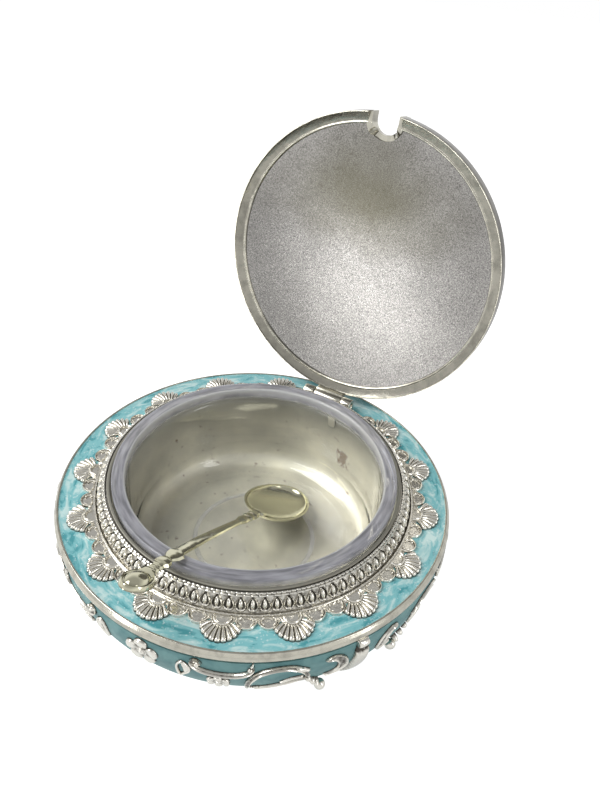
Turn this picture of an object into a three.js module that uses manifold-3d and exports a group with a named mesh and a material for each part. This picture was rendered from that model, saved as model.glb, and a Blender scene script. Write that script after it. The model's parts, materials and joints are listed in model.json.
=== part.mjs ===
// A round dry fruit box: an enamelled metal casing with a glass bowl in it, a hinged lid and a spoon.
// Millimetres, +Z up. The origin is the middle of the base, on the table. The hinge is at +Y.
import * as THREE from 'three';
import { mergeVertices } from 'three/addons/utils/BufferGeometryUtils.js';
import Module from 'manifold-3d';

const wasm = await Module();
wasm.setup();

// Fits
const gap = 0.3; // between neighbouring pieces
const pinPlay = 0.3; // round the hinge pin
const overrun = 1; // how far a cutter runs past what it cuts

// Deck of the casing
const deckHeight = 48; // top of the deck's enamel above the table
const deckRadius = 77.3;
const deckThickness = 2.4;
const deckWidth = 14.1; // from its edge to the collar's foot
const enamelThickness = 0.7;
const collarSlopeRun = 3;
const collarTopWidth = 1.8;
const collarRise = 7.4;
const collarStep = 2; // from the slope's top to the collar's
const collarFootRadius = deckRadius - deckWidth;
const collarTopRadius = collarFootRadius - collarSlopeRun;
const collarSlopeRise = collarRise - collarStep;
const mouthRadius = collarTopRadius - collarTopWidth;
const deckMetalZ = deckHeight - enamelThickness - gap;
const deckUndersideZ = deckMetalZ - deckThickness;

// Bulging wall
const bellyProud = 1.5; // past the deck's edge
const bellyDrop = 7.8; // the widest place, below the deck
const wallThickness = 2.2;
const footInset = 21.4; // from the widest place to the foot
const footWall = 2.4;
const footHeight = 3;
const footRise = 4.8; // from the foot ring to the enamel
const ledgeWidth = 11.4;
const ledgeThickness = 2.4;
const bellyRadius = deckRadius + bellyProud;
const bellyZ = deckHeight - bellyDrop;
const footRadius = bellyRadius - footInset;
const ledgeInnerRadius = footRadius - ledgeWidth;
const wallCurveRadius = (bellyZ - footHeight) ** 2 / (2 * footInset);

// Moulding round the deck's edge
const bandWidth = 1.4;
const bandHeight = 3.6;
const bandRound = 0.9;
const bandProud = 0.2; // above the enamel

// Base
const baseThickness = 2;
const screwCount = 3;
const screwRadius = 1.1;
const screwHeadRadius = 2.3;
const screwHeadHeight = 1.2;
const screwLength = 3.8;
const screwInset = 6.9; // from the foot's edge
const screwCircleRadius = footRadius - screwInset;

// Ornament on the deck
const stringWidth = 0.9;
const stringHeight = 1.4;
const laceThickness = 1.2;
const laceInset = 2.5; // from the collar's foot
const laceInnerRadius = collarFootRadius + laceInset;
const laceEdgeRadius = laceInnerRadius + 2 * gap;
const fanCount = 15;
const fanPitch = THREE.MathUtils.degToRad(21.7);
const fanOffset = 1.1; // of a fan's centre from the lace's inner edge
const fanMargin = 3; // from a fan's tip to the deck's edge
const fanCentreRadius = laceInnerRadius + fanOffset;
const fanRadius = deckRadius - fanMargin - fanCentreRadius;
const fanRibs = 9;
const fanScallopShare = 0.05;
const arcadeRadius = 3.8;
const arcadeSink = 0.3; // of an arcade's centre behind the lace's inner edge
const arcadeCentreRadius = laceInnerRadius - arcadeSink;
const arcadeOffset = THREE.MathUtils.degToRad(7.7); // from the fan's axis
const laceEnd = THREE.MathUtils.degToRad(14); // half the break at the hinge
const eggRingThickness = 1.2;
const eggRingEnd = THREE.MathUtils.degToRad(13);
const beadRadius = 0.6;

// Metal cup in the casing
const cupWall = 0.8;
const cupLipWidth = 1.6;
const cupLipThickness = 1;
const cupFloorThickness = 1;
const cupFloorRise = 12; // of its underside above the table
const cupCornerRadius = 7;

// Hinge
const hingeOffset = 0.8; // of the axis from the collar's foot
const hingeRise = 3.9; // axis above the deck
const barrelRadius = 2.6;
const pinRadius = 0.9;
const hingeHalfLength = 12.1;
const lidBarrelHalfLength = 6.9;
const pinRecess = 0.8;
const lugBack = 0.4; // from the axis towards the bowl, at the lug's foot
const tongueBack = 3.1;
const tongueFront = 0.6;
const hingeY = collarFootRadius + hingeOffset;
const hingeZ = deckHeight + hingeRise;

// Lid, measured from its rim's lower edge
const openAngle = THREE.MathUtils.degToRad(100);
const lidClearance = 0.6; // over the beads of the collar
const lidOverhang = 4.2; // past the collar's mouth
const lidRimWidth = 4.7;
const lidRimEdge = 0.9;
const lidRimBevel = 0.4;
const lidRimHeight = 5.8;
const lidShoulder = 1.6;
const lidLandWidth = 2.4;
const lidStepHeight = 2.6;
const lidShellEdgeHeight = 4.6;
const lidShellThickness = 2.2;
const lidDomeRadius = 252; // radius of the sphere that the shell follows
const lidEnamelInnerRadius = 13;
const lidEnamelMargin = 1;
const notchHalfWidth = 6.6;
const notchDepth = 10;
const notchBorder = 1.1;
const notchBorderRise = 1.2;
const lidLaceMargin = 1; // from the enamel's inner edge
const lidLaceRadius = 29;
const lidFanCount = 12;
const lidFanRadius = 6.4;
const lidLaceThickness = 1.1;
const knobFlangeRadius = 8.5;
const knobFlangeHeight = 1.6;
const knobNeckRadius = 2.6;
const knobNeckHeight = 3.2;
const knobBallRadius = 5.2;
const knobTipHeight = 2.2;
const knobSinkShare = 0.8; // of the ball's radius, from the neck's top to its middle
const knobBallDegrees = [-25, 0, 30, 60];
const lidPlaneZ = deckMetalZ + collarRise + gap + 2 * beadRadius + lidClearance;
const lidRadius = mouthRadius + lidOverhang;
const lidStepRadius = lidRadius - lidLandWidth;
const lidRimInnerRadius = lidRadius - lidRimWidth;
const lidShellRadius = lidRimInnerRadius - gap;
const lidEnamelRadius = lidShellRadius - lidEnamelMargin;
const lidLaceInnerRadius = lidEnamelInnerRadius + lidLaceMargin;

// Glass bowl
const glassPlay = 0.5; // round the rim, in the metal cup
const glassProud = 1.7; // over the lid's plane, inside the closed lid
const glassRimWidth = 5.3;
const glassFloorThickness = 3.5;
const glassFloorInset = 8.5; // from the rim's inner edge
const glassWall = 3.4;
const glassRimBand = 6;
const glassRimSlope = 2;
const glassRimRound = 0.7;
const glassTaper = 2;
const glassCorner = 8;
const glassHeelShare = 0.6;
const glassRimRadius = mouthRadius - gap - cupWall - glassPlay;
const glassRimInnerRadius = glassRimRadius - glassRimWidth;
const glassFloorRadius = glassRimInnerRadius - glassFloorInset;
const glassTopZ = lidPlaneZ + glassProud;
const glassBottomZ = cupFloorRise + cupFloorThickness + gap;
const glassFloorZ = glassBottomZ + glassFloorThickness;

// Spoon
const spoonBowlHalfWidth = 12;
const spoonBowlHalfLength = 14.6;
const spoonBowlDepth = 5.5;
const spoonWall = 0.9;
const spoonInset = 8.9; // of its bowl's end from the edge of the glass floor
const spoonBend = THREE.MathUtils.degToRad(8);
const handleThickness = 1.8;
const handleLength = 88;
const handleHalfWidth = 1.5;
const handleWidthShares = [[0, 1.9], [0.08, 1.2], [0.3, 1], [0.6, 1.1], [0.75, 1.7], [0.85, 1.2], [1, 1.3]];
const medalHalfLength = 8;
const medalHalfWidth = 5.2;
const medalHalfThickness = 1.8;
const spoonBowlY = glassFloorRadius - spoonInset - spoonBowlHalfLength;

// Relief on the wall. Places are angles from the middle flower and drops below the deck.
const sectorCount = 3;
const friezeTurn = THREE.MathUtils.degToRad(1.5);
const reliefThickness = 1.3;
const reliefStep = 0.25; // of a curl or stalk above the strip that it grows out of
const reliefHalfWidth = 1;
const crownShare = 0.55;
const studRingShares = [[1, 0], [1, 0.4], [crownShare, 1]]; // of its outline and of its height
const halfSector = Math.PI / sectorCount;
const flowerRadius = 6.6;
const flowerDrop = 12;
const petalCount = 5;
const petalValleyShare = 0.55;
const curlRadius = 2;
const ballRadius = 2.3;
const ballLiftShare = 0.9;
const legHalfWidth = 2.9;
const legFootHalfWidth = 4.6;
const legThickness = 2;
const legTopDrop = 5.3;
const legRollRadius = 1.5;

// Fineness of the round forms
const roundSteps = 36;
const pinSteps = 12;
const pathStep = 3.1;
const fewestSteps = 3; // in a strip of relief
const legSteps = 5;
const rollSteps = 10;
const bowlSteps = 16; // of the spoon's bowl
const ballSteps = 6;
const stepsPerFan = 12;
const stepsPerLidFan = 6;
const stepsPerPetal = 4;
const halvings = 40; // to find how the spoon leans

const bandInnerRadius = deckRadius + gap;
const bandTopZ = deckHeight + bandProud;
const bandBottomZ = bandTopZ - bandHeight;
const laceZ = deckHeight + gap;
const front = -Math.PI / 2;
const back = Math.PI / 2;

const silver = { color: 0xd6d3c9, roughness: 0.24, metalness: 1 };
const brightSilver = { color: 0xe4e2da, roughness: 0.12, metalness: 1 };
const castSilver = { color: 0xb9b5a8, roughness: 0.48, metalness: 1 };
const paleGold = { color: 0xcfc9a6, roughness: 0.16, metalness: 1 };
const deckEnamelPaint = { color: 0x74cbd4, roughness: 0.22, metalness: 0 };
const wallEnamelPaint = { color: 0x5a9aa2, roughness: 0.26, metalness: 0 };
const clearGlass = { color: 0xcdd2cd, roughness: 0.05, metalness: 0, transparent: true, opacity: 0.45 };

// Leaves only positions, joins equal vertices, drops empty triangles and turns the faces outward.
function closed(geometry) {
  const bare = geometry.clone();
  bare.deleteAttribute('normal');
  bare.deleteAttribute('uv');
  const merged = mergeVertices(bare);
  const at = merged.attributes.position;
  const kept = [];
  let volume = 0;
  const [a, b, c] = [new THREE.Vector3(), new THREE.Vector3(), new THREE.Vector3()];
  for (let i = 0; i < merged.index.count; i += 3) {
    const [p, q, r] = [0, 1, 2].map((k) => merged.index.getX(i + k));
    if (p !== q && q !== r && p !== r) {
      kept.push([p, q, r]);
      a.fromBufferAttribute(at, p);
      b.fromBufferAttribute(at, q);
      c.fromBufferAttribute(at, r);
      volume += a.dot(b.cross(c));
    }
  }
  merged.setIndex(kept.flatMap(([p, q, r]) => (volume > 0 ? [p, q, r] : [p, r, q])));
  return merged;
}

// A closed body from a list of cross-sections with as many points each.
function skin(sections, loop = false) {
  const around = sections[0].length;
  const points = sections.flat();
  const faces = [];
  const spans = loop ? sections.length : sections.length - 1;
  for (let s = 0; s < spans; s += 1) {
    const here = s * around;
    const next = ((s + 1) % sections.length) * around;
    for (let k = 0; k < around; k += 1) {
      const l = (k + 1) % around;
      faces.push(here + k, here + l, next + l, here + k, next + l, next + k);
    }
  }
  if (!loop) {
    for (const [first, turn] of [[0, false], [(sections.length - 1) * around, true]]) {
      const middle = new THREE.Vector3();
      for (let k = 0; k < around; k += 1) {
        middle.addScaledVector(points[first + k], 1 / around);
      }
      points.push(middle);
      for (let k = 0; k < around; k += 1) {
        const l = (k + 1) % around;
        const edge = turn ? [first + k, first + l] : [first + l, first + k];
        faces.push(...edge, points.length - 1);
      }
    }
  }
  const geometry = new THREE.BufferGeometry().setFromPoints(points);
  geometry.setIndex(faces);
  return closed(geometry);
}

// A body of revolution about Z from a profile of radius and height.
function turned(profile, steps = roundSteps) {
  const points = profile.map(([radius, height]) => new THREE.Vector2(radius, height));
  if (profile[0][0] > 0) {
    points.push(points[0].clone());
  }
  const lathe = new THREE.LatheGeometry(points, steps);
  lathe.rotateX(Math.PI / 2);
  return closed(lathe);
}

// A profile of radius and height swept round Z from one angle to another.
function turnedPart(profile, from, to, steps) {
  const sections = [];
  for (let i = 0; i <= steps; i += 1) {
    const angle = from + ((to - from) * i) / steps;
    sections.push(profile.map(([radius, height]) => polar(radius, angle, height)));
  }
  return skin(sections);
}

function polar(radius, angle, height) {
  return new THREE.Vector3(radius * Math.cos(angle), radius * Math.sin(angle), height);
}

function solidOf(geometry) {
  const body = closed(geometry);
  const mesh = new wasm.Mesh({
    numProp: 3,
    vertProperties: new Float32Array(body.attributes.position.array),
    triVerts: new Uint32Array(body.index.array),
  });
  return new wasm.Manifold(mesh);
}

function geometryOf(solid) {
  const mesh = solid.getMesh();
  const geometry = new THREE.BufferGeometry();
  geometry.setAttribute('position', new THREE.BufferAttribute(new Float32Array(mesh.vertProperties), 3));
  geometry.setIndex(Array.from(mesh.triVerts));
  return geometry;
}

function joined(...geometries) {
  return geometryOf(geometries.map(solidOf).reduce((whole, piece) => whole.add(piece)));
}

function cut(geometry, ...cutters) {
  const whole = solidOf(geometry);
  return geometryOf(cutters.map(solidOf).reduce((left, cutter) => left.subtract(cutter), whole));
}

function upright(radius, from, to, steps = pinSteps) {
  const geometry = new THREE.CylinderGeometry(radius, radius, to - from, steps);
  geometry.rotateX(Math.PI / 2);
  geometry.translate(0, 0, (from + to) / 2);
  return geometry;
}

function slab(shape, depth) {
  return new THREE.ExtrudeGeometry(shape, { depth, bevelEnabled: false, curveSegments: pinSteps });
}

const box = new THREE.Group();
const lid = new THREE.Group();
lid.position.set(0, hingeY, hingeZ);
lid.rotation.x = -openAngle;
box.add(lid);

function place(parent, name, geometry, look) {
  const mesh = new THREE.Mesh(geometry, new THREE.MeshStandardMaterial(look));
  mesh.name = name;
  parent.add(mesh);
  return mesh;
}

// A lid piece is drawn in its closed place and hung on the hinge.
function placeOnLid(name, geometry, look) {
  geometry.translate(0, -hingeY, -hingeZ);
  return place(lid, name, geometry, look);
}

// The wall's outer face is a round arch in section: radius and height, lifted along its normal.
function wallPoint(height, lift) {
  const below = bellyZ - height;
  const radius = bellyRadius - (below * below) / (2 * wallCurveRadius);
  const lean = below / wallCurveRadius;
  const normal = Math.hypot(1, lean);
  return [radius + lift / normal, height - (lift * lean) / normal];
}

function wallProfile(from, to, lift, steps) {
  const profile = [];
  for (let i = 0; i <= steps; i += 1) {
    profile.push(wallPoint(from + ((to - from) * i) / steps, lift));
  }
  return profile;
}

const enamelBottomZ = footHeight + footRise;
const enamelTopZ = bandBottomZ - gap - enamelThickness;
const shellTopZ = deckUndersideZ - gap;
const shellLift = -enamelThickness - gap;
const ledgeBottomZ = baseThickness + gap;
const ledgeTopZ = ledgeBottomZ + ledgeThickness;

function screwPlaces() {
  const places = [];
  for (let i = 0; i < screwCount; i += 1) {
    places.push(polar(screwCircleRadius, back + (i * 2 * Math.PI) / screwCount, 0));
  }
  return places;
}

function bodyShell() {
  const outer = wallProfile(footHeight + gap, shellTopZ, shellLift, 5);
  const inner = wallProfile(ledgeTopZ + footWall, shellTopZ, shellLift - wallThickness, 2).reverse();
  inner[0][1] = outer[outer.length - 1][1];
  const shell = turned([
    [footRadius, 0],
    ...outer,
    ...inner,
    [footRadius - footWall, ledgeTopZ],
    [ledgeInnerRadius, ledgeTopZ],
    [ledgeInnerRadius, ledgeBottomZ],
    [footRadius - footWall, ledgeBottomZ],
    [footRadius - footWall, 0],
  ]);
  const bores = screwPlaces().map(({ x, y }) => {
    return upright(screwRadius + gap, ledgeBottomZ - overrun, screwLength + gap).translate(x, y, 0);
  });
  return cut(shell, ...bores);
}

function wallEnamel() {
  const outer = wallProfile(enamelBottomZ, enamelTopZ, 0, 4);
  const inner = wallProfile(enamelBottomZ, enamelTopZ, -enamelThickness, 4).reverse();
  return turned([...outer, ...inner]);
}

function screwProfile(play) {
  return [
    [0, -play],
    [screwHeadRadius + play, -play],
    [screwRadius + play, screwHeadHeight],
    [screwRadius + play, screwLength],
    [0, screwLength],
  ];
}

function basePlate() {
  const radius = footRadius - footWall - gap;
  const plate = turned([[0, 0], [radius, 0], [radius, baseThickness], [0, baseThickness]]);
  const bores = screwPlaces().map(({ x, y }) => turned(screwProfile(gap), pinSteps).translate(x, y, 0));
  return cut(plate, ...bores);
}

function topRing() {
  return turned([
    [mouthRadius, deckUndersideZ],
    [deckRadius, deckUndersideZ],
    [deckRadius, deckMetalZ],
    [collarFootRadius, deckMetalZ],
    [collarTopRadius, deckMetalZ + collarSlopeRise],
    [collarTopRadius, deckMetalZ + collarRise],
    [mouthRadius, deckMetalZ + collarRise],
  ]);
}

function deckEnamel() {
  const inner = collarFootRadius + stringWidth;
  const bottom = deckHeight - enamelThickness;
  const outer = deckRadius - gap;
  return turned([[inner, bottom], [outer, bottom], [outer, deckHeight], [inner, deckHeight]]);
}

function rimBand() {
  const outer = bandInnerRadius + bandWidth;
  return turned([
    [bandInnerRadius, bandBottomZ],
    [outer - bandRound, bandBottomZ],
    [outer, bandBottomZ + bandRound],
    [outer, bandTopZ - 2 * bandRound],
    [outer - bandRound, bandTopZ],
    [bandInnerRadius, bandTopZ],
  ]);
}

// The collar's slope as a frame: its foot, and unit steps up the slope and out of it.
const slopeLength = Math.hypot(collarFootRadius - collarTopRadius, collarSlopeRise);
const slopeUp = [(collarTopRadius - collarFootRadius) / slopeLength, collarSlopeRise / slopeLength];
const slopeOut = [slopeUp[1], -slopeUp[0]];

function slopePoint(along, out) {
  return [
    collarFootRadius + slopeUp[0] * along + slopeOut[0] * out,
    deckMetalZ + slopeUp[1] * along + slopeOut[1] * out,
  ];
}

function eggRing() {
  const foot = enamelThickness + gap + stringWidth;
  const profile = [
    slopePoint(foot, gap),
    slopePoint(foot, gap + eggRingThickness / 2),
    slopePoint(slopeLength / 2, gap + eggRingThickness),
    slopePoint(slopeLength, gap + eggRingThickness),
    slopePoint(slopeLength, gap),
  ];
  return turnedPart(profile, back + eggRingEnd, back + 2 * Math.PI - eggRingEnd, roundSteps);
}

function beadRing() {
  const radius = collarTopRadius - beadRadius / 2;
  const height = deckMetalZ + collarRise + gap + beadRadius;
  const profile = [];
  for (let k = 0; k < 4; k += 1) {
    const angle = (k * Math.PI) / 2;
    profile.push([radius + beadRadius * Math.cos(angle), height + beadRadius * Math.sin(angle)]);
  }
  return turned(profile);
}

// How far a disc on the axis at an angle of zero reaches along a ray at another angle.
function discReach(centre, radius, angle) {
  const aside = centre * Math.sin(angle);
  return Math.abs(aside) < radius ? centre * Math.cos(angle) + Math.sqrt(radius * radius - aside * aside) : 0;
}

function laceReach(angle) {
  const place = Math.max(-1, Math.min(1, (angle - front) / (fanPitch * ((fanCount - 1) / 2))));
  const fan = front + Math.round((place * (fanCount - 1)) / 2) * fanPitch;
  const off = angle - fan;
  const edge = discReach(fanCentreRadius, fanRadius, off);
  const tilt = Math.atan2(edge * Math.sin(off), edge * Math.cos(off) - fanCentreRadius);
  const scallop = 1 - fanScallopShare * (1 - Math.abs(Math.cos((tilt * fanRibs) / 2)));
  const shell = edge > 0 ? fanCentreRadius + (edge - fanCentreRadius) * scallop : 0;
  const arcades = [-arcadeOffset, arcadeOffset].map((aside) => {
    return discReach(arcadeCentreRadius, arcadeRadius, off - aside);
  });
  return Math.max(laceEdgeRadius, shell, ...arcades);
}

// A ring of shell fans with two arcades between them, and the string line inside it.
function laceRing() {
  const from = back + laceEnd - 2 * Math.PI;
  const to = back - laceEnd;
  const steps = Math.round(((to - from) / fanPitch) * stepsPerFan);
  const shape = new THREE.Shape();
  for (let i = 0; i <= steps; i += 1) {
    const angle = from + ((to - from) * i) / steps;
    const reach = laceReach(angle);
    if (i === 0) {
      shape.moveTo(reach * Math.cos(angle), reach * Math.sin(angle));
    } else {
      shape.lineTo(reach * Math.cos(angle), reach * Math.sin(angle));
    }
  }
  for (let i = roundSteps; i >= 0; i -= 1) {
    const angle = from + ((to - from) * i) / roundSteps;
    shape.lineTo(laceInnerRadius * Math.cos(angle), laceInnerRadius * Math.sin(angle));
  }
  return closed(slab(shape, laceThickness).translate(0, 0, laceZ));
}

function stringRing() {
  const outer = laceInnerRadius - gap;
  const inner = outer - stringWidth;
  const top = laceZ + stringHeight;
  const half = stringWidth / 2;
  const profile = [[inner, laceZ], [outer, laceZ], [outer, top - half], [inner + half, top]];
  return turnedPart(profile, back + eggRingEnd, back + 2 * Math.PI - eggRingEnd, roundSteps);
}

const cupLipZ = deckMetalZ + collarRise + gap;
const cupFloorZ = cupFloorRise + cupFloorThickness;

function innerCup() {
  const outer = mouthRadius - gap;
  const inner = outer - cupWall;
  return turned([
    [0, cupFloorRise],
    [outer - cupCornerRadius, cupFloorRise],
    [outer - cupCornerRadius / 3, cupFloorRise + cupCornerRadius / 3],
    [outer, cupFloorRise + cupCornerRadius],
    [outer, cupLipZ],
    [inner + cupLipWidth, cupLipZ],
    [inner + cupLipWidth, cupLipZ + cupLipThickness],
    [inner, cupLipZ + cupLipThickness],
    [inner, cupFloorZ + cupCornerRadius],
    [inner - cupCornerRadius / 3, cupFloorZ + cupCornerRadius / 3],
    [inner - cupCornerRadius, cupFloorZ],
    [0, cupFloorZ],
  ]);
}

function glassBowl() {
  const wallOuter = glassRimInnerRadius + glassWall;
  const rimUnderZ = glassTopZ - glassRimBand;
  return turned([
    [0, glassBottomZ],
    [glassFloorRadius + glassWall - glassTaper, glassBottomZ],
    [wallOuter - glassTaper, glassBottomZ + glassCorner * glassHeelShare],
    [wallOuter - glassTaper / 2, glassBottomZ + 2 * glassCorner],
    [wallOuter, rimUnderZ - glassRimSlope],
    [glassRimRadius, rimUnderZ],
    [glassRimRadius, glassTopZ - glassRimRound],
    [glassRimRadius - glassRimRound, glassTopZ],
    [glassRimInnerRadius + glassRimRound, glassTopZ],
    [glassRimInnerRadius, glassTopZ - glassRimRound],
    [glassRimInnerRadius - glassTaper / 4, rimUnderZ - glassRimSlope],
    [glassRimInnerRadius - glassTaper, glassFloorZ + glassCorner],
    [glassRimInnerRadius - 2 * glassTaper, glassFloorZ + glassCorner / 4],
    [glassFloorRadius, glassFloorZ],
    [0, glassFloorZ],
  ]);
}

// Extrudes an outline in Y and Z along X, from one place to another.
function sideways(shape, from, to) {
  const body = slab(shape, to - from);
  body.rotateY(Math.PI / 2);
  body.rotateX(Math.PI / 2);
  return closed(body.translate(from, 0, 0));
}

function pinHole() {
  return new THREE.Path().absarc(0, 0, pinRadius + pinPlay, 0, 2 * Math.PI);
}

// A casing knuckle: a barrel on a straight-sided lug that stands on the deck.
function casingKnuckle(side) {
  const shape = new THREE.Shape();
  shape.moveTo(-lugBack, gap - hingeRise);
  shape.lineTo(barrelRadius, gap - hingeRise);
  shape.absarc(0, 0, barrelRadius, 0, Math.PI);
  shape.holes.push(pinHole());
  const [from, to] = [lidBarrelHalfLength + gap, hingeHalfLength].map((x) => side * x).sort((a, b) => a - b);
  return sideways(shape, from, to).translate(0, hingeY, hingeZ);
}

// The lid's knuckle: a barrel with a tongue that reaches up under the lid's rim.
function lidKnuckle() {
  const top = lidPlaneZ - hingeZ - gap;
  const start = Math.PI - Math.asin(tongueFront / barrelRadius);
  const end = Math.PI / 2 + Math.asin(tongueFront / barrelRadius);
  const shape = new THREE.Shape();
  shape.moveTo(-tongueBack, top);
  shape.lineTo(-tongueBack, tongueFront);
  shape.absarc(0, 0, barrelRadius, start, end + 2 * Math.PI);
  shape.lineTo(-tongueFront, top);
  shape.holes.push(pinHole());
  return sideways(shape, -lidBarrelHalfLength, lidBarrelHalfLength).translate(0, hingeY, hingeZ);
}

function hingePin() {
  const length = 2 * (hingeHalfLength - pinRecess);
  const pin = new THREE.CylinderGeometry(pinRadius, pinRadius, length, pinSteps);
  pin.rotateZ(Math.PI / 2);
  return pin.translate(0, hingeY, hingeZ);
}

// Height of the lid shell's inner face over the lid's plane, as part of a sphere.
const lidSphereZ = lidPlaneZ + lidShellEdgeHeight - Math.sqrt(lidDomeRadius ** 2 - lidShellRadius ** 2);

function domePoint(radius, lift) {
  const height = Math.sqrt(lidDomeRadius ** 2 - radius ** 2);
  const stretch = (lidDomeRadius + lift) / lidDomeRadius;
  return [radius * stretch, lidSphereZ + height * stretch];
}

function domeProfile(fromRadius, toRadius, lift, steps) {
  const profile = [];
  for (let i = 0; i <= steps; i += 1) {
    profile.push(domePoint(fromRadius + ((toRadius - fromRadius) * i) / steps, lift));
  }
  return profile;
}

// The U-shaped notch for the spoon's handle, as a block wider and deeper by a border.
function notchBlock(border, from, to) {
  const half = notchHalfWidth + border;
  const shape = new THREE.Shape();
  shape.moveTo(-half, -lidRadius - overrun);
  shape.lineTo(half, -lidRadius - overrun);
  shape.absarc(0, notchDepth - notchHalfWidth - lidRadius, half, 0, Math.PI);
  return slab(shape, to - from).translate(0, 0, from);
}

const lidTopZ = lidPlaneZ + lidRimHeight + lidShoulder + lidShellThickness + lidShellRadius;

function notched(geometry, border = notchBorder + gap) {
  return cut(geometry, notchBlock(border, lidPlaneZ - overrun, lidTopZ));
}

function lidShell() {
  return notched(turned([
    ...domeProfile(0, lidShellRadius, 0, 3),
    ...domeProfile(0, lidShellRadius, lidShellThickness, 3).reverse(),
  ]));
}

function lidRim() {
  const top = lidPlaneZ + lidRimHeight + lidShoulder;
  return notched(turned([
    [lidRadius - lidRimEdge, lidPlaneZ],
    [lidRadius, lidPlaneZ + lidRimBevel],
    [lidRadius, lidPlaneZ + lidRimHeight],
    [lidRadius - lidShoulder, top],
    [lidRimInnerRadius + lidRimBevel, top],
    [lidRimInnerRadius + lidRimBevel, lidPlaneZ + lidShellEdgeHeight],
    [lidRimInnerRadius - lidRimEdge, lidPlaneZ + lidShellEdgeHeight - gap],
    [lidRimInnerRadius - lidRimEdge, lidPlaneZ + lidShellEdgeHeight - gap - lidRimBevel],
    [lidStepRadius, lidPlaneZ + lidStepHeight],
  ]));
}

function lidEnamel() {
  const bottom = lidShellThickness + gap;
  const steps = 2;
  return notched(turned([
    ...domeProfile(lidEnamelInnerRadius, lidEnamelRadius, bottom, steps),
    ...domeProfile(lidEnamelInnerRadius, lidEnamelRadius, bottom + enamelThickness, steps).reverse(),
  ]));
}

// A ring of round fans on the lid's dome, round the knob.
function lidLace() {
  const base = lidShellThickness + 2 * gap + enamelThickness;
  const centre = lidLaceRadius - lidFanRadius;
  const steps = lidFanCount * stepsPerLidFan;
  const sections = [];
  for (let i = 0; i < steps; i += 1) {
    const angle = (i * 2 * Math.PI) / steps;
    const fan = Math.round((angle * lidFanCount) / (2 * Math.PI)) * ((2 * Math.PI) / lidFanCount);
    const reach = Math.max(centre, discReach(centre, lidFanRadius, angle - fan));
    const inner = lidLaceInnerRadius;
    sections.push([[inner, 0], [reach, 0], [reach, 1], [inner, 1]].map(([radius, up]) => {
      const [r, z] = domePoint(radius, base + up * lidLaceThickness);
      return polar(r, angle, z);
    }));
  }
  return skin(sections, true);
}

function lidKnob() {
  const bottom = domePoint(0, lidShellThickness + gap)[1];
  const neckTop = bottom + knobFlangeHeight + knobNeckHeight;
  const ballMiddle = neckTop + knobBallRadius * knobSinkShare;
  const ball = knobBallDegrees.map((degrees) => {
    const angle = THREE.MathUtils.degToRad(degrees);
    return [knobBallRadius * Math.cos(angle), ballMiddle + knobBallRadius * Math.sin(angle)];
  });
  return turned([
    [0, bottom],
    [knobFlangeRadius, bottom],
    [knobFlangeRadius, bottom + knobFlangeHeight / 2],
    [knobNeckRadius, bottom + knobFlangeHeight + knobNeckHeight / 3],
    [knobNeckRadius, neckTop],
    ...ball,
    [0, ballMiddle + knobBallRadius + knobTipHeight],
  ], roundSteps / 2);
}

// A raised lining round the notch, over the spoon's handle.
function notchLining() {
  const from = lidPlaneZ + lidShellEdgeHeight + gap;
  const to = lidPlaneZ + lidRimHeight + lidShoulder + notchBorderRise;
  const ring = cut(notchBlock(notchBorder, from, to), notchBlock(0, from - overrun, to + overrun));
  const keep = upright(lidRadius, from - overrun, to + overrun, roundSteps);
  return geometryOf(solidOf(ring).intersect(solidOf(keep)));
}

// The bowl is bent up from the handle's line, so its heel and the handle lie lower than its middle.
const spoonHeelDrop = spoonBowlHalfLength * Math.sin(spoonBend);

// The spoon leans on the rim's inner edge and its bowl touches the glass floor.
function spoonSeat(slope) {
  const lean = slope - spoonBend;
  const drop = Math.hypot(spoonBowlHalfLength * Math.sin(lean), spoonBowlDepth * Math.cos(lean));
  return glassFloorZ + gap + drop;
}

function spoonClearance(slope) {
  const edge = glassRimInnerRadius + glassRimRound;
  const over = spoonSeat(slope) + (spoonBowlY + edge) * Math.tan(slope) - glassTopZ;
  return over * Math.cos(slope) - spoonHeelDrop - handleThickness / 2 - gap;
}

function spoonSlope() {
  let [low, high] = [0, Math.PI / 4];
  for (let i = 0; i < halvings; i += 1) {
    const middle = (low + high) / 2;
    if (spoonClearance(middle) > 0) {
      high = middle;
    } else {
      low = middle;
    }
  }
  return high;
}

function ellipsoid(halfX, halfY, halfZ) {
  return closed(new THREE.SphereGeometry(1, bowlSteps, bowlSteps / 2).scale(halfX, halfY, halfZ));
}

function spoon() {
  const bowlHalves = [spoonBowlHalfWidth, spoonBowlHalfLength, spoonBowlDepth];
  const inner = ellipsoid(...bowlHalves.map((half) => half - spoonWall));
  const above = new THREE.BoxGeometry(...bowlHalves.map((half) => 4 * half));
  above.translate(0, 0, 2 * spoonBowlDepth);
  const bowl = cut(ellipsoid(...bowlHalves), inner, above);
  bowl.rotateX(spoonBend);
  const start = spoonWall - spoonBowlHalfLength;
  const sections = handleWidthShares.map(([share, width]) => {
    const y = start - share * handleLength;
    const [x, z] = [width * handleHalfWidth, handleThickness / 2];
    return [[-x, 0], [-x / 2, -z], [x / 2, -z], [x, 0], [x / 2, z], [-x / 2, z]].map(([a, b]) => {
      return new THREE.Vector3(a, y, b);
    });
  });
  const medal = ellipsoid(medalHalfWidth, medalHalfLength, medalHalfThickness);
  medal.translate(0, start - handleLength - medalHalfLength / 2, medalHalfThickness - handleThickness / 2);
  const handle = joined(skin(sections), medal).translate(0, 0, -spoonHeelDrop);
  return joined(bowl, handle);
}

// A point of a frieze sector: degrees from the flower, drop below the deck, lift off the enamel.
function frieze(sector, side) {
  const middle = front + friezeTurn + sector * 2 * halfSector;
  return (degrees, drop, lift) => {
    const [radius, height] = wallPoint(deckHeight - drop, gap + lift);
    return polar(radius, middle + side * THREE.MathUtils.degToRad(degrees), height);
  };
}

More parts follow.
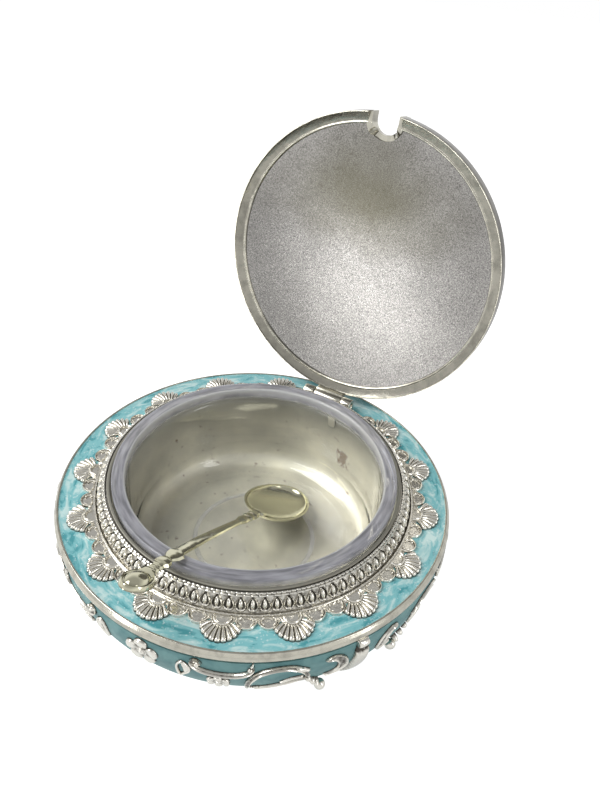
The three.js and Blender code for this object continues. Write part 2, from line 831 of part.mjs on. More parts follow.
// A flat-topped strip along a curve through places on the wall.
function strip(onWall, places, widthShares = [1], loop = false) {
  const middle = (degrees) => THREE.MathUtils.degToRad(degrees) * bellyRadius;
  const knots = places.map(([degrees, drop]) => new THREE.Vector3(middle(degrees), drop, 0));
  const curve = new THREE.CatmullRomCurve3(knots, loop);
  const steps = Math.max(fewestSteps, Math.round(curve.getLength() / pathStep));
  const sections = [];
  for (let i = 0; i <= steps - (loop ? 1 : 0); i += 1) {
    const point = curve.getPointAt(i / steps);
    const along = curve.getTangentAt(i / steps);
    const place = (i / steps) * (widthShares.length - 1);
    const index = Math.min(Math.floor(place), widthShares.length - 2);
    const mix = place - index;
    const share = index < 0 ? widthShares[0] : widthShares[index] * (1 - mix) + widthShares[index + 1] * mix;
    const half = share * reliefHalfWidth;
    const crown = half * crownShare;
    sections.push([[-half, 0], [half, 0], [crown, 1], [-crown, 1]].map(([aside, up]) => {
      const x = point.x - along.y * aside;
      const drop = point.y + along.x * aside;
      return onWall(THREE.MathUtils.radToDeg(x / bellyRadius), drop, up * reliefThickness);
    }));
  }
  return skin(sections, loop);
}

// Places on the wall lifted a little, for a piece that grows out of a strip.
function raised(onWall) {
  return (degrees, drop, lift) => onWall(degrees, drop, lift + reliefStep);
}

// A domed stud on the wall with a round or lobed outline.
function stud(onWall, degrees, drop, outline, height) {
  return skin(studRingShares.map(([share, up]) => outline.map(([x, y]) => {
    const turn = THREE.MathUtils.radToDeg((x * share) / bellyRadius);
    return onWall(degrees + turn, drop + y * share, up * height);
  })));
}

function roundOutline(radius, steps = 8) {
  const outline = [];
  for (let i = 0; i < steps; i += 1) {
    const angle = (i * 2 * Math.PI) / steps;
    outline.push([radius * Math.cos(angle), radius * Math.sin(angle)]);
  }
  return outline;
}

function petalOutline() {
  const steps = petalCount * stepsPerPetal;
  return roundOutline(flowerRadius, steps).map(([x, y], i) => {
    const lobe = Math.abs(Math.cos((petalCount * i * Math.PI) / steps));
    const share = petalValleyShare + (1 - petalValleyShare) * lobe;
    return [x * share, y * share];
  });
}

// Places in the frieze: degrees from the flower, and drop as a share of the belly's drop.
const commaShares = [[9.5, 1.65], [11.5, 1.45], [13.5, 1.2]];
const scrollShares = [[16, 1.2], [18.5, 1.4], [22, 1.52], [25.5, 1.5], [28.2, 1.36]];
const scrollCurlShares = [[15.2, 0.85], [29.6, 0.8]];
const frameShares = [
  [29, 2.6], [29.6, 1.7], [31.4, 1.2], [34.4, 0.94], [37.6, 0.9],
  [40.6, 1.08], [43.2, 1.5], [43.4, 2.1], [39, 2.5], [34, 2.75],
];
const stalkShares = [[43.4, 2.1], [45.2, 2.6], [46.6, 3.1]];
const hookShares = [[48.5, 1.12], [50.8, 1.08], [52.9, 1.3], [54, 1.75], [54, 2.3], [53, 2.75], [50.5, 2.9]];

// Widths along the strips, as shares of the relief's width.
const commaWidthShares = [0.6, 1.6, 1.2];
const scrollWidthShares = [1, 1, 1.2, 1, 1];
const frameWidthShares = [0.9];
const stalkWidthShares = [1, 0.8];
const hookWidthShares = [0.6, 1.3, 1.5, 1.2, 0.7];

function inFrieze(shares) {
  return shares.map(([degrees, share]) => [degrees, share * bellyDrop]);
}

function commaLeaf(onWall) {
  return strip(onWall, inFrieze(commaShares), commaWidthShares);
}

function scroll(onWall) {
  const [first, last] = inFrieze(scrollCurlShares);
  const band = strip(onWall, [first, ...inFrieze(scrollShares), last], scrollWidthShares);
  const curls = [first, last].map(([degrees, drop]) => {
    return stud(raised(onWall), degrees, drop, roundOutline(curlRadius), reliefThickness);
  });
  return joined(band, ...curls);
}

function leafFrame(onWall) {
  const frame = strip(onWall, inFrieze(frameShares), frameWidthShares, true);
  const stalk = strip(raised(onWall), inFrieze(stalkShares), stalkWidthShares);
  const [[degrees, drop]] = inFrieze(stalkShares.slice(-1));
  const ball = closed(new THREE.SphereGeometry(ballRadius, ballSteps, ballSteps));
  ball.translate(...onWall(degrees, drop, ballRadius * ballLiftShare).toArray());
  return joined(frame, stalk, ball);
}

function hookLeaf(onWall) {
  return strip(onWall, inFrieze(hookShares), hookWidthShares);
}

// A cast leg that follows the wall under a rolled top.
function leg(sector) {
  const middle = front + friezeTurn + (2 * sector + 1) * halfSector;
  const [top, bottom] = [deckHeight - legTopDrop, footHeight + footWall];
  const steps = legSteps;
  const sections = [];
  for (let i = 0; i <= steps; i += 1) {
    const height = top + ((bottom - top) * i) / steps;
    const half = legHalfWidth + ((legFootHalfWidth - legHalfWidth) * i * i) / (steps * steps);
    const crown = half * crownShare;
    sections.push([[-half, 0], [half, 0], [crown, 1], [-crown, 1]].map(([aside, up]) => {
      const [radius, z] = wallPoint(height, gap + up * legThickness);
      return polar(radius, middle + aside / radius, z);
    }));
  }
  const roll = new THREE.CylinderGeometry(legRollRadius, legRollRadius, 2 * legHalfWidth, rollSteps);
  const [radius, z] = wallPoint(top, gap + legRollRadius);
  roll.rotateZ(Math.PI / 2).rotateZ(middle - front).translate(...polar(radius, middle, z).toArray());
  return joined(skin(sections), roll);
}

place(box, 'base_plate', basePlate(), silver);
screwPlaces().forEach(({ x, y }, i) => {
  place(box, `base_screw_${i + 1}`, turned(screwProfile(0), pinSteps), castSilver).position.set(x, y, 0);
});
place(box, 'body_shell', bodyShell(), silver);
place(box, 'wall_enamel', wallEnamel(), wallEnamelPaint);
place(box, 'top_ring', topRing(), silver);
place(box, 'deck_enamel', deckEnamel(), deckEnamelPaint);
place(box, 'rim_band', rimBand(), brightSilver);
place(box, 'lace_ring', laceRing(), silver);
place(box, 'string_ring', stringRing(), silver);
place(box, 'egg_ring', eggRing(), silver);
place(box, 'bead_ring', beadRing(), silver);
place(box, 'inner_cup', innerCup(), castSilver);
place(box, 'casing_knuckle_left', casingKnuckle(-1), brightSilver);
place(box, 'casing_knuckle_right', casingKnuckle(1), brightSilver);
place(box, 'hinge_pin', hingePin(), castSilver);

for (let sector = 0; sector < sectorCount; sector += 1) {
  const number = sector + 1;
  const flower = stud(frieze(sector, 1), 0, flowerDrop, petalOutline(), reliefThickness);
  place(box, `wall_flower_${number}`, flower, silver);
  place(box, `leg_${number}`, leg(sector), silver);
  for (const [side, word] of [[-1, 'left'], [1, 'right']]) {
    const onWall = frieze(sector, side);
    place(box, `comma_leaf_${number}_${word}`, commaLeaf(onWall), silver);
    place(box, `scroll_${number}_${word}`, scroll(onWall), silver);
    place(box, `leaf_frame_${number}_${word}`, leafFrame(onWall), silver);
    place(box, `hook_leaf_${number}_${word}`, hookLeaf(onWall), silver);
  }
}

place(box, 'glass_bowl', glassBowl(), clearGlass);
const spoonMesh = place(box, 'spoon', spoon(), paleGold);
spoonMesh.position.set(0, spoonBowlY, spoonSeat(spoonSlope()));
spoonMesh.rotation.x = -spoonSlope();

placeOnLid('lid_shell', lidShell(), castSilver);
placeOnLid('lid_rim', lidRim(), brightSilver);
placeOnLid('lid_enamel', lidEnamel(), deckEnamelPaint);
placeOnLid('lid_lace', lidLace(), silver);
placeOnLid('lid_knob', lidKnob(), brightSilver);
placeOnLid('lid_knuckle', lidKnuckle(), brightSilver);
placeOnLid('notch_lining', notchLining(), brightSilver);

export default box;
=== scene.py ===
"""A dry fruit box of plated zinc and turquoise enamel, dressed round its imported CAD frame."""

import json
import math

import bmesh
import bpy
import numpy as np
from bpy.props import FloatProperty, FloatVectorProperty, IntProperty, PointerProperty
from bpy.types import Operator, Panel, PropertyGroup
from mathutils import Matrix, Vector


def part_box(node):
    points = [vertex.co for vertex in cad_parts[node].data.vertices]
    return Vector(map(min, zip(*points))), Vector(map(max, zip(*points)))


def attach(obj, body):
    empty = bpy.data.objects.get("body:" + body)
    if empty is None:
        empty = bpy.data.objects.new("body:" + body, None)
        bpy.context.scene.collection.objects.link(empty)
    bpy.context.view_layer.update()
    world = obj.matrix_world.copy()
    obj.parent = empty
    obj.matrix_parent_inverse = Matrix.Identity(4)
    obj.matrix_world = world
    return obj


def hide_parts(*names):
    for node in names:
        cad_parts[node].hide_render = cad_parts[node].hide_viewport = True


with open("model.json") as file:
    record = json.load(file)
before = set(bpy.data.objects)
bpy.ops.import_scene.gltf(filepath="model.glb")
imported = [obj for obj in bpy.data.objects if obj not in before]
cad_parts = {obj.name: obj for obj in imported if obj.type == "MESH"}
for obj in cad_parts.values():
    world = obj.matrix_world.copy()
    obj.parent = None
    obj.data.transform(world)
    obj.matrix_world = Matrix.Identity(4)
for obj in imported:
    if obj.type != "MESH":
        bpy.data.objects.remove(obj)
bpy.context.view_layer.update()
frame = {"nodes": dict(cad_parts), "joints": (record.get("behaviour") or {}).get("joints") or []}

bl_info = {
    "name": "Dry Fruit Box",
    "version": (1, 0, 0),
    "blender": (4, 5, 0),
    "location": "View3D > Sidebar > Fruit Box",
    "description": "Builds an enamelled dry fruit box with its lid, glass bowl and spoon",
    "category": "Object",
}

# Shapes are worked out in millimetres and written to the meshes in metres.
MM = 0.001
TURN = 2 * math.pi
FRONT = -math.pi / 2
BACK = math.pi / 2
SUNK = 0.25  # how far a relief reaches into the enamel
WELD = 1e-7


def low(node, axis):
    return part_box(node)[0][axis] / MM


def high(node, axis):
    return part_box(node)[1][axis] / MM


# Deck and collar
DECK_TOP = high("deck_enamel", 2)
DECK_RADIUS = high("top_ring", 0)
DECK_METAL = DECK_TOP - 1
DECK_UNDER = DECK_METAL - 2.4
COLLAR_FOOT = 63.2
COLLAR_RISE = 7.4
MOUTH_RADIUS = 58.4
LACE_END = math.radians(14)
EGG_END = math.radians(13)
STRING_RADIUS = 63.8
LACE_INNER = 64.0
LACE_OUTER = 66.3
FAN_MIDDLE = 67.4
ARCH_MIDDLE = 65.5
# Degrees round the deck of the fans, which the casting sets a little closer in front.
FAN_TURNS = [111.2, 136, 159.2, 182.4, 205.6, 228, 249.8, 270.8]
FAN_TURNS += [291.8, 312.6, 333.6, 354.8, 377.2, 399.8, 423.1]
LAST_SPACE = 21.5  # degrees from the row's last fans to the ones that it has no room for
# Foot and top of the egg row: radius and height.
EGG_FOOT = np.array([62.7, DECK_TOP + 1.2])
EGG_TOP = np.array([60.0, DECK_TOP + 6.5])
# Radius and height of the two rows of beads over the eggs, and a bead's own radius.
BEAD_UPPER = (59.55, EGG_TOP[1] + 0.75)
BEAD_LOWER = (60.15, EGG_TOP[1] + 0.2)
BEAD_RADIUS = 0.42

# Bulging wall
BELLY_RADIUS = DECK_RADIUS + 1.5
BELLY_Z = DECK_TOP - 7.8
FOOT_INSET = 21.4
FOOT_RADIUS = BELLY_RADIUS - FOOT_INSET
FOOT_INNER = FOOT_RADIUS - 2.4
FOOT_HEIGHT = 3
# The ledge over the base plate.
LEDGE_INNER = FOOT_RADIUS - 11.4
LEDGE_UNDER = 2.3
LEDGE_TOP = 4.7
WALL_CURVE = (BELLY_Z - FOOT_HEIGHT) ** 2 / (2 * FOOT_INSET)
ENAMEL = 0.7
# How far under the enamel's face the casting's outer and inner faces are.
CASTING_OUTER = 1
CASTING_INNER = 3.2
BAND_TOP = high("rim_band", 2)
BAND_BOTTOM = low("rim_band", 2)
BAND_RADIUS = high("rim_band", 0)
SECTORS = 3
SECTOR_TURN = TURN / SECTORS
FRIEZE_TURN = math.radians(1.5)

# Hinge and lid
HINGE = Matrix.Translation([value / MM for value in frame["joints"][0]["pos_m"]])
OPEN_TURN = math.radians(100)
# Turns a piece that is drawn on the closed lid to the open place.
OPENED = HINGE @ Matrix.Rotation(-OPEN_TURN, 4, "X") @ HINGE.inverted()
KNUCKLE_RADIUS = 3.1
KNUCKLE_ENDS = (7.2, 12.1)
LID_KNUCKLE_RADIUS = 2.6
LID_KNUCKLE_HALF = 6.9
PIN_BORE = 1.2
LID_PLANE = 56.5
LID_RADIUS = 62.6
SHELL_RADIUS = 57.6
DOME_RADIUS = 252
DOME_Z = LID_PLANE + 4.6 - math.sqrt(DOME_RADIUS**2 - SHELL_RADIUS**2)
NOTCH_HALF = 6.6
NOTCH_MIDDLE = LID_RADIUS - 10 + NOTCH_HALF
NOTCH_CUT = NOTCH_HALF + 1.4
DISH_BACK = 2.2
ROSETTE_FANS = 12
ROSETTE_RADIUS = 22
HANDLE_ROOM = (5.4, 3.4)  # half width and height of the lining's room over the spoon's handle

# Spoon, as it leans on the glass bowl's rim
SPOON_BOWL_Y = 19.5
SPOON_SEAT = 24.2408
SPOON_LEAN = math.radians(27.6783)
SPOON_BEND = math.radians(8)
BOWL_HALVES = (13.9, 17.2, 5.0)
BOWL_SHEET = 0.9  # the bowl's thickness
HEEL = 14.6  # half length of the solid's bowl
SPOON_ASKEW = math.radians(-1.5)
RIM_CROSSING = 51.5
HANDLE_DROP = HEEL * math.sin(SPOON_BEND)


def linear(text):
    """The linear colour of an sRGB hex value."""
    parts = [int(text[i : i + 2], 16) / 255 for i in (0, 2, 4)]
    return tuple(p / 12.92 if p <= 0.04045 else ((p + 0.055) / 1.055) ** 2.4 for p in parts)


def size(name, text, default):
    return FloatProperty(
        name=name, description=text, default=default, min=0.0, unit="LENGTH", subtype="DISTANCE"
    )


def watts(name, text, default):
    return FloatProperty(name=name, description=text, default=default, min=0.0, unit="POWER")


def tally(name, text, default, least):
    return IntProperty(name=name, description=text, default=default, min=least)


def colour(name, text, default):
    return FloatVectorProperty(
        name=name, description=text, default=linear(default), size=3, min=0.0, max=1.0, subtype="COLOR"
    )


class BoxSizes(PropertyGroup):
    """Sizes and counts of the ornament."""

    turning_steps: tally("Turning steps", "Faces round a turned piece", 180, 36)
    fan_ribs: tally("Fan ribs", "Ribs on one fan", 9, 3)
    fan_radius: size("Fan radius", "From a fan's middle to its tips", 0.0074)
    fan_height: size("Fan height", "Of the ribs above the enamel", 0.0015)
    arch_radius: size("Arch radius", "Of the small arches between the fans", 0.00385)
    arch_height: size("Arch height", "Of the arches above the enamel", 0.0012)
    egg_count: tally("Eggs", "Pointed eggs in a full turn of the collar", 94, 12)
    egg_height: size("Egg height", "Of the eggs above their ground", 0.0011)
    bead_count: tally("Beads", "Small beads round the collar's top", 216, 24)
    relief_height: size("Relief height", "Of the wall's scrolls above the enamel", 0.001)
    relief_width: size("Relief width", "Of the wall's scrolls", 0.0026)
    grain: size("Sand grain", "Grain of the sand-cast lid", 0.0005)
    flake: size("Pearl flake", "Glitter flakes in the deck's enamel", 0.0005)
    swirl: size("Pearl swirl", "Length of the streaks in the deck's enamel", 0.009)


class BoxColours(PropertyGroup):
    """Colours of the finishes."""

    crest: colour("Crests", "Plating on the high places of the ornament", "e4e1d8")
    # Painted shade: the plating's colour where it is darkened in the ornament's low places, and on the lid
    # rim's outer wall as a painted dark reflection.
    hollow: colour("Hollows", "Darkened plating in the low places", "4e4a44")
    bright: colour("Bright plating", "Polished band, rim and hinge", "c4c1b4")
    cast: colour("Cast metal", "Sand-cast inside of the lid", "888683")
    # A darker olive patch over the lid dish's middle.
    olive_patch: colour("Tarnish", "Olive tarnish in the lid", "5c594a")
    mark: colour("Water mark", "Brown water mark in the cup", "7a4a22")
    cup: colour("Cup", "Metal cup round the glass", "efe9d6")
    spoon: colour("Spoon", "Pale gilt plating of the spoon", "d2cfb6")
    deck_pale: colour("Deck pale", "Pale streaks of the deck's enamel", "cfeeec")
    deck_middle: colour("Deck middle", "Main colour of the deck's enamel", "85cbd0")
    deck_deep: colour("Deck deep", "Deep parts of the deck's enamel", "45a0a9")
    wall_middle: colour("Wall middle", "Main colour of the wall's enamel", "7ba9a9")
    wall_deep: colour("Wall deep", "Deep parts of the wall's enamel", "5f9093")
    glass: colour("Glass", "Tint of the pressed glass", "f1f2f4")
    ground_glass: colour("Ground glass", "Milky rim of the glass", "bcbcc4")
    flake: colour("Flake", "Glitter flakes in the deck's enamel", "eefcfc")
    glass_shade: colour("Glass shade", "Light that gets through the glass", "f3f6f5")
    floor: colour("Floor", "Studio floor", "d9d9d9")


class StudioSettings(PropertyGroup):
    """Lamps, floor and camera."""

    lens: FloatProperty(name="Lens", description="Focal length", default=32.37, min=10, unit="CAMERA")
    floor_radius: size("Floor radius", "Of the round floor", 1.6)
    top_power: watts("Top lamp", "Overhead lamp", 4.2)
    front_power: watts("Front lamp", "Low lamp in front", 0.09)
    side_power: watts("Side lamp", "Tall lamp on the right", 0.9)
    room: FloatProperty(name="Room light", description="Strength as soft light", default=0.5, min=0)


# Mesh helpers


def polar(radius, angle, height):
    """Points from their radius, their angle about Z and their height."""
    return np.stack(np.broadcast_arrays(radius * np.cos(angle), radius * np.sin(angle), height), -1)


class Form:
    """Closed sheets of points in millimetres that become one mesh."""

    def __init__(self):
        self.points = []
        self.hollows = []
        self.faces = []
        self.count = 0

    def add(self, points, hollow=0.0):
        """Adds an array of points and returns their numbers in the same layout."""
        shape = points.shape[:-1]
        amount = int(np.prod(shape))
        self.points.append(points.reshape(-1, 3))
        self.hollows.append(np.broadcast_to(hollow, shape).reshape(-1))
        self.count += amount
        return np.arange(self.count - amount, self.count).reshape(shape)

    def grid(self, points, hollow=0.0, wrap_rows=False, wrap_columns=False):
        """Adds rows of points with faces between them, closed round where it wraps."""
        index = self.add(points, hollow)
        down = np.roll(index, -1, 0)
        quads = np.stack([index, np.roll(index, -1, 1), np.roll(down, -1, 1), down], -1)
        rows, columns = index.shape
        quads = quads[: rows - (not wrap_rows), : columns - (not wrap_columns)]
        self.faces += quads.reshape(-1, 4).tolist()
        return index

    def blanket(self, top, under, hollow=0.0, wrap=False):
        """A closed relief: a grid whose rim is carried down to the points under it."""
        index = self.grid(top, hollow, wrap_columns=wrap)
        if wrap:
            rim = index[-1]
            foot = under[-1]
        else:
            rim = np.concatenate([index[0, :-1], index[:-1, -1], index[-1, :0:-1], index[:0:-1, 0]])
            foot = np.concatenate([under[0, :-1], under[:-1, -1], under[-1, :0:-1], under[:0:-1, 0]])
        # The sides down to the feet carry the full hollow share, which paints them in shade.
        feet = self.add(foot, 1.0)
        sides = np.stack([rim, np.roll(rim, -1), np.roll(feet, -1), feet], -1)
        self.faces += sides.tolist()
        self.faces.append(feet.tolist())

    def lathe(self, profile, steps, start=0.0, end=TURN, hollow=0.0):
        """Turns a closed profile of radius and height about Z, the whole way or part of it."""
        profile = np.array(profile, float)
        whole = end - start > TURN - WELD
        angles = np.linspace(start, end, steps + 1)[None, : steps + (not whole)]
        points = polar(profile[:, :1], angles, profile[:, 1:2])
        index = self.grid(points, hollow, wrap_rows=True, wrap_columns=whole)
        if not whole:
            self.faces += [index[:, 0].tolist(), index[::-1, -1].tolist()]

    def tube(self, sections, hollow=0.0):
        """Closed cross-sections in a row, with a face at each end."""
        index = self.grid(sections, hollow, wrap_columns=True)
        self.faces += [index[0].tolist(), index[-1, ::-1].tolist()]

    def join(self, other):
        """Takes in what another form holds."""
        self.points += other.points
        self.hollows += other.hollows
        self.faces += [[corner + self.count for corner in face] for face in other.faces]
        self.count += other.count

    def move(self, matrix):
        """Moves everything added so far, in millimetres."""
        turn = np.array(matrix.to_3x3())
        shift = np.array(matrix.translation)
        self.points = [points @ turn.T + shift for points in self.points]

    def piece(self, name, body, finish, nodes, sharp=40):
        """Makes the object, welds its seams, turns its faces outward and tells the frame about it."""
        mesh = bpy.data.meshes.new(name)
        mesh.from_pydata((np.concatenate(self.points) * MM).tolist(), [], self.faces)
        # Each point's hollow share: most finishes turn it into painted shade in low places, the lid rim's
        # finish into a painted dark reflection, the cup's into its greyer buffed lip and the glass's into
        # milkiness.
        depth = mesh.attributes.new("hollow", "FLOAT", "POINT")
        depth.data.foreach_set("value", np.concatenate(self.hollows).astype(np.float32))
        work = bmesh.new()
        work.from_mesh(mesh)
        bmesh.ops.remove_doubles(work, verts=work.verts, dist=WELD * 100)
        bmesh.ops.dissolve_degenerate(work, edges=work.edges, dist=WELD * 10)
        bmesh.ops.recalc_face_normals(work, faces=work.faces)
        work.to_mesh(mesh)
        work.free()
        mesh.shade_smooth()
        mesh.set_sharp_from_angle(angle=math.radians(sharp))
        mesh.materials.append(finishes()[finish])
        made = bpy.data.objects.new(name, mesh)
        bpy.context.scene.collection.objects.link(made)
        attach(made, body)
        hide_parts(*nodes)


def rounded(corners, steps=4):
    """A closed outline whose corners, each two places and a rounding, are rounded."""
    places = [np.array(corner[:2], float) for corner in corners]
    outline = []
    for i, (here, corner) in enumerate(zip(places, corners)):
        radius = corner[2] if len(corner) > 2 else 0
        if not radius:
            outline.append(here)
            continue
        ways = [places[i - 1] - here, places[(i + 1) % len(places)] - here]
        first, last = [here + way * min(radius / np.hypot(*way), 0.5) for way in ways]
        for t in np.linspace(0, 1, steps + 1):
            outline.append((1 - t) ** 2 * first + 2 * t * (1 - t) * here + t**2 * last)
    return outline


def smooth_path(knots, spacing, loop=False):
    """Evenly spaced places along a smooth curve through the knots."""
    knots = np.array(knots, float)
    if loop:
        padded = np.vstack([knots[-1:], knots, knots[:2]])
    else:
        padded = np.vstack([2 * knots[:1] - knots[1:2], knots, 2 * knots[-1:] - knots[-2:-1]])
    t = np.linspace(0, 1, 13)[:-1, None]
    spans = [
        (2 * b + (c - a) * t + (2 * a - 5 * b + 4 * c - d) * t**2 + (3 * b - a - 3 * c + d) * t**3) / 2
        for a, b, c, d in zip(padded, padded[1:], padded[2:], padded[3:])
    ]
    dense = np.vstack([*spans, padded[-2:-1]])
    lengths = np.concatenate([[0], np.cumsum(np.hypot(*np.diff(dense, axis=0).T))])
    count = max(4, round(lengths[-1] / spacing))
    at = np.linspace(0, lengths[-1], count + 1)
    return np.stack([np.interp(at, lengths, dense[:, k]) for k in (0, 1)], -1)


def deck_place(radius, angle):
    """Places on the deck: outward and across from a point on it, and height above the enamel."""

    def place(out, across, lift):
        x = (radius + out) * math.cos(angle) - across * math.sin(angle)
        y = (radius + out) * math.sin(angle) + across * math.cos(angle)
        return np.stack(np.broadcast_arrays(x, y, DECK_TOP + lift), -1)

    return place


def wall_place(sector, side=1):
    """Places on the wall: round from a sector's flower, drop below the deck, and lift off the enamel."""
    middle = FRONT + FRIEZE_TURN + sector * SECTOR_TURN

    def place(along, drop, lift):
        height = DECK_TOP - drop
        lean = (BELLY_Z - height) / WALL_CURVE
        square = np.hypot(1, lean)
        radius = BELLY_RADIUS - (BELLY_Z - height) ** 2 / (2 * WALL_CURVE) + lift / square
        angle = middle + side * along / BELLY_RADIUS
        return polar(radius, angle, height - lift * lean / square)

    return place


def dome_place(angle, start, base, share):
    """Places on the closed lid's dome: outward from a start, across, and a share of the lift off a base."""

    def place(out, across, lift):
        out = start + out
        lift = base + lift * share
        radius = np.hypot(out, across)
        stretch = (DOME_RADIUS + lift) / DOME_RADIUS
        height = DOME_Z + np.sqrt(DOME_RADIUS**2 - radius**2) * stretch
        x = (out * math.cos(angle) - across * math.sin(angle)) * stretch
        y = (out * math.sin(angle) + across * math.cos(angle)) * stretch
        return np.stack(np.broadcast_arrays(x, y, height), -1)

    return place


# Relief patterns

# A fan's rows, as shares of the way from its boss to its tips.
FAN_ROWS = [0, 0.04, 0.1, 0.18, 0.3, 0.45, 0.6, 0.72, 0.82, 0.89, 0.94, 0.98, 1.0]
RIB_STEPS = 8
SCALLOP = 0.06
FAN_SPREAD = math.radians(80)
BOSS_SHIFT = 0.32
BOSS_REACH = 0.44

# Ridges of the fan's boss and of an arch, as shares of radius and height.
BOSS_TABLE = (
    [0, 0.52, 0.6, 0.65, 0.72, 0.79, 0.84, 0.9, 0.95, 1],
    [0.4, 0.4, 0.3, 0.9, 1, 0.85, 0.25, 0.5, 0.45, 0],
)
ARCH_TABLE = ([0, 0.74, 0.79, 0.83, 0.87, 0.92, 0.96, 1], [0.26, 0.26, 0.12, 0.5, 0.95, 1, 0.85, 0])
QUARTER = np.linspace(0, math.pi / 2, 9)
BALL_TABLE = (np.sin(QUARTER).tolist(), np.cos(QUARTER).tolist())

# A flower's rows, as shares of the way from its middle to its tips.
PETAL_ROWS = [0.02, 0.1, 0.16, 0.2, 0.24, 0.28, 0.33, 0.4, 0.5, 0.6, 0.7, 0.8, 0.88, 0.94, 0.98, 1.0]

# One curl inside an arch: outward and across.
ARCH_CURL = [(-0.7, 1.75), (-0.2, 2.45), (0.9, 2.6), (1.7, 1.9)]


def ripple(share, steps):
    """A row of round ribs: 1 on each crest and 0 in each groove."""
    part = share * steps % 1.0
    return np.sqrt(np.clip(1 - (2 * part - 1) ** 2, 0, 1))


def fan(form, place, radius, height, ribs):
    """A shell fan: round ribs that spread from a ringed boss to a lightly scalloped edge."""
    turn = np.linspace(-FAN_SPREAD, FAN_SPREAD, ribs * RIB_STEPS + 1)[None, :]
    rib = ripple((turn + FAN_SPREAD) / (2 * FAN_SPREAD) * 0.999999, ribs)
    share = np.array(FAN_ROWS)[:, None]
    tip = radius * (1 - SCALLOP * (1 - rib))
    root = radius * BOSS_REACH
    out = (1 - share) * (root * np.cos(0.85 * turn) - BOSS_SHIFT * radius) + share * tip * np.cos(turn)
    across = (1 - share) * root * np.sin(0.85 * turn) + share * tip * np.sin(turn)
    swell = 0.5 + 0.5 * np.clip(share / 0.35, 0, 1)
    edge = np.sqrt(np.clip(1 - (np.clip(share - 0.87, 0, 1) / 0.13) ** 2, 0.02, 1))
    lift = swell * edge * (0.08 + 0.92 * rib)
    # The low places between the ribs and at the edge carry the hollow share, which paints them in shade.
    form.blanket(place(out, across, height * lift), place(out, across, -SUNK), 1 - lift)
    middle = (-BOSS_SHIFT * radius, 0)
    rings(form, place, 0.56 * radius, height, BOSS_TABLE, math.radians(96), 32, middle, 0.6)


def arch(form, place, radius, height):
    """An arch with a rim round a flat plate, a small bar at its foot and a curl at either side."""
    rings(form, place, radius, height, ARCH_TABLE, math.radians(100), 28, shade_share=0.55)
    strip(form, place, [(-0.8, -1.2), (-0.8, 1.2)], 0.3, height * 0.8, section=ONE_RIDGE)
    for side in (-1, 1):
        curl = [(out, side * across) for out, across in ARCH_CURL]
        strip(form, place, curl, 0.36, height * 0.9, section=ONE_RIDGE, spacing=0.3)
        for end in (curl[0], curl[-1]):
            rings(form, place, 0.55, height, BALL_TABLE, None, 12, end)


def rings(form, place, radius, height, table, spread=None, steps=32, middle=(0, 0), shade_share=1.0):
    """A disc, or part of one, whose height follows a table of shares from its middle to its edge; its low
    places carry a share of painted shade.
    """
    shares = np.unique(np.concatenate([np.linspace(0.03, 1, 14), table[0][1:]]))[:, None]
    whole = spread is None
    ends = (0, TURN) if whole else (-spread, spread)
    turn = np.linspace(*ends, steps + 1)[None, : steps + (not whole)]
    lift = np.interp(shares, *table) + 0 * turn
    out = middle[0] + radius * shares * np.cos(turn)
    across = middle[1] + radius * shares * np.sin(turn)
    if whole:
        top = place(out, across, height * lift)
        tip = place(middle[0] + 0 * turn, middle[1] + 0 * turn, height * np.interp(0, *table))
        top = np.concatenate([tip, top])
        under = place(out, across, -SUNK)
        form.blanket(top, under, shade_share * np.concatenate([1 - lift[:1], 1 - lift]), wrap=True)
    else:
        form.blanket(place(out, across, height * lift), place(out, across, -SUNK), shade_share * (1 - lift))


def petals(form, place, radius, height, count, middle=(0, 0), tilt=0.0):
    """A round flower: lobed petals with a groove between them, round a ringed eye."""
    steps = count * 12
    turn = np.linspace(0, TURN, steps, endpoint=False)[None, :]
    lobe = ripple(turn / TURN, count)
    share = np.array(PETAL_ROWS)[:, None]
    reach = radius * share * (1 - (0.42 - 0.42 * lobe) * share**2)
    eye = np.interp(share, [0, 0.1, 0.18, 0.22, 0.26, 0.32], [1, 0.95, 0.5, 0.3, 0.62, 0.3])
    leaf = np.clip((share - 0.28) / 0.1, 0, 1)
    cup = 0.35 + 0.65 * np.clip((share - 0.3) / 0.5, 0, 1)
    edge = np.sqrt(np.clip(1 - (np.clip(share - 0.82, 0, 1) / 0.18) ** 2, 0.03, 1))
    lift = eye * (1 - leaf) + leaf * cup * edge * (0.3 + 0.7 * lobe)
    out = middle[0] + reach * np.cos(turn + tilt)
    across = middle[1] + reach * np.sin(turn + tilt)
    # Painted shade in the grooves and the eye's ring, from the hollow share.
    form.blanket(place(out, across, height * lift), place(out, across, -SUNK), 1 - lift, wrap=True)


def mirrored(half):
    """A cross-section from its left half: places across it and heights."""
    half = np.array(half)
    return np.vstack([half, half[-2::-1] * (-1, 1)])


TWO_RIDGES = mirrored([(-1, 0), (-0.95, 0.6), (-0.84, 1), (-0.7, 0.85), (-0.54, 0.32), (0, 0.2)])
ONE_RIDGE = mirrored([(-1, 0), (-0.85, 0.45), (-0.55, 0.75), (-0.25, 0.93), (0, 1)])
LEG_SECTION = mirrored([(-1, 0), (-0.97, 0.5), (-0.88, 0.85), (-0.6, 0.95), (-0.3, 0.98), (0, 1)])


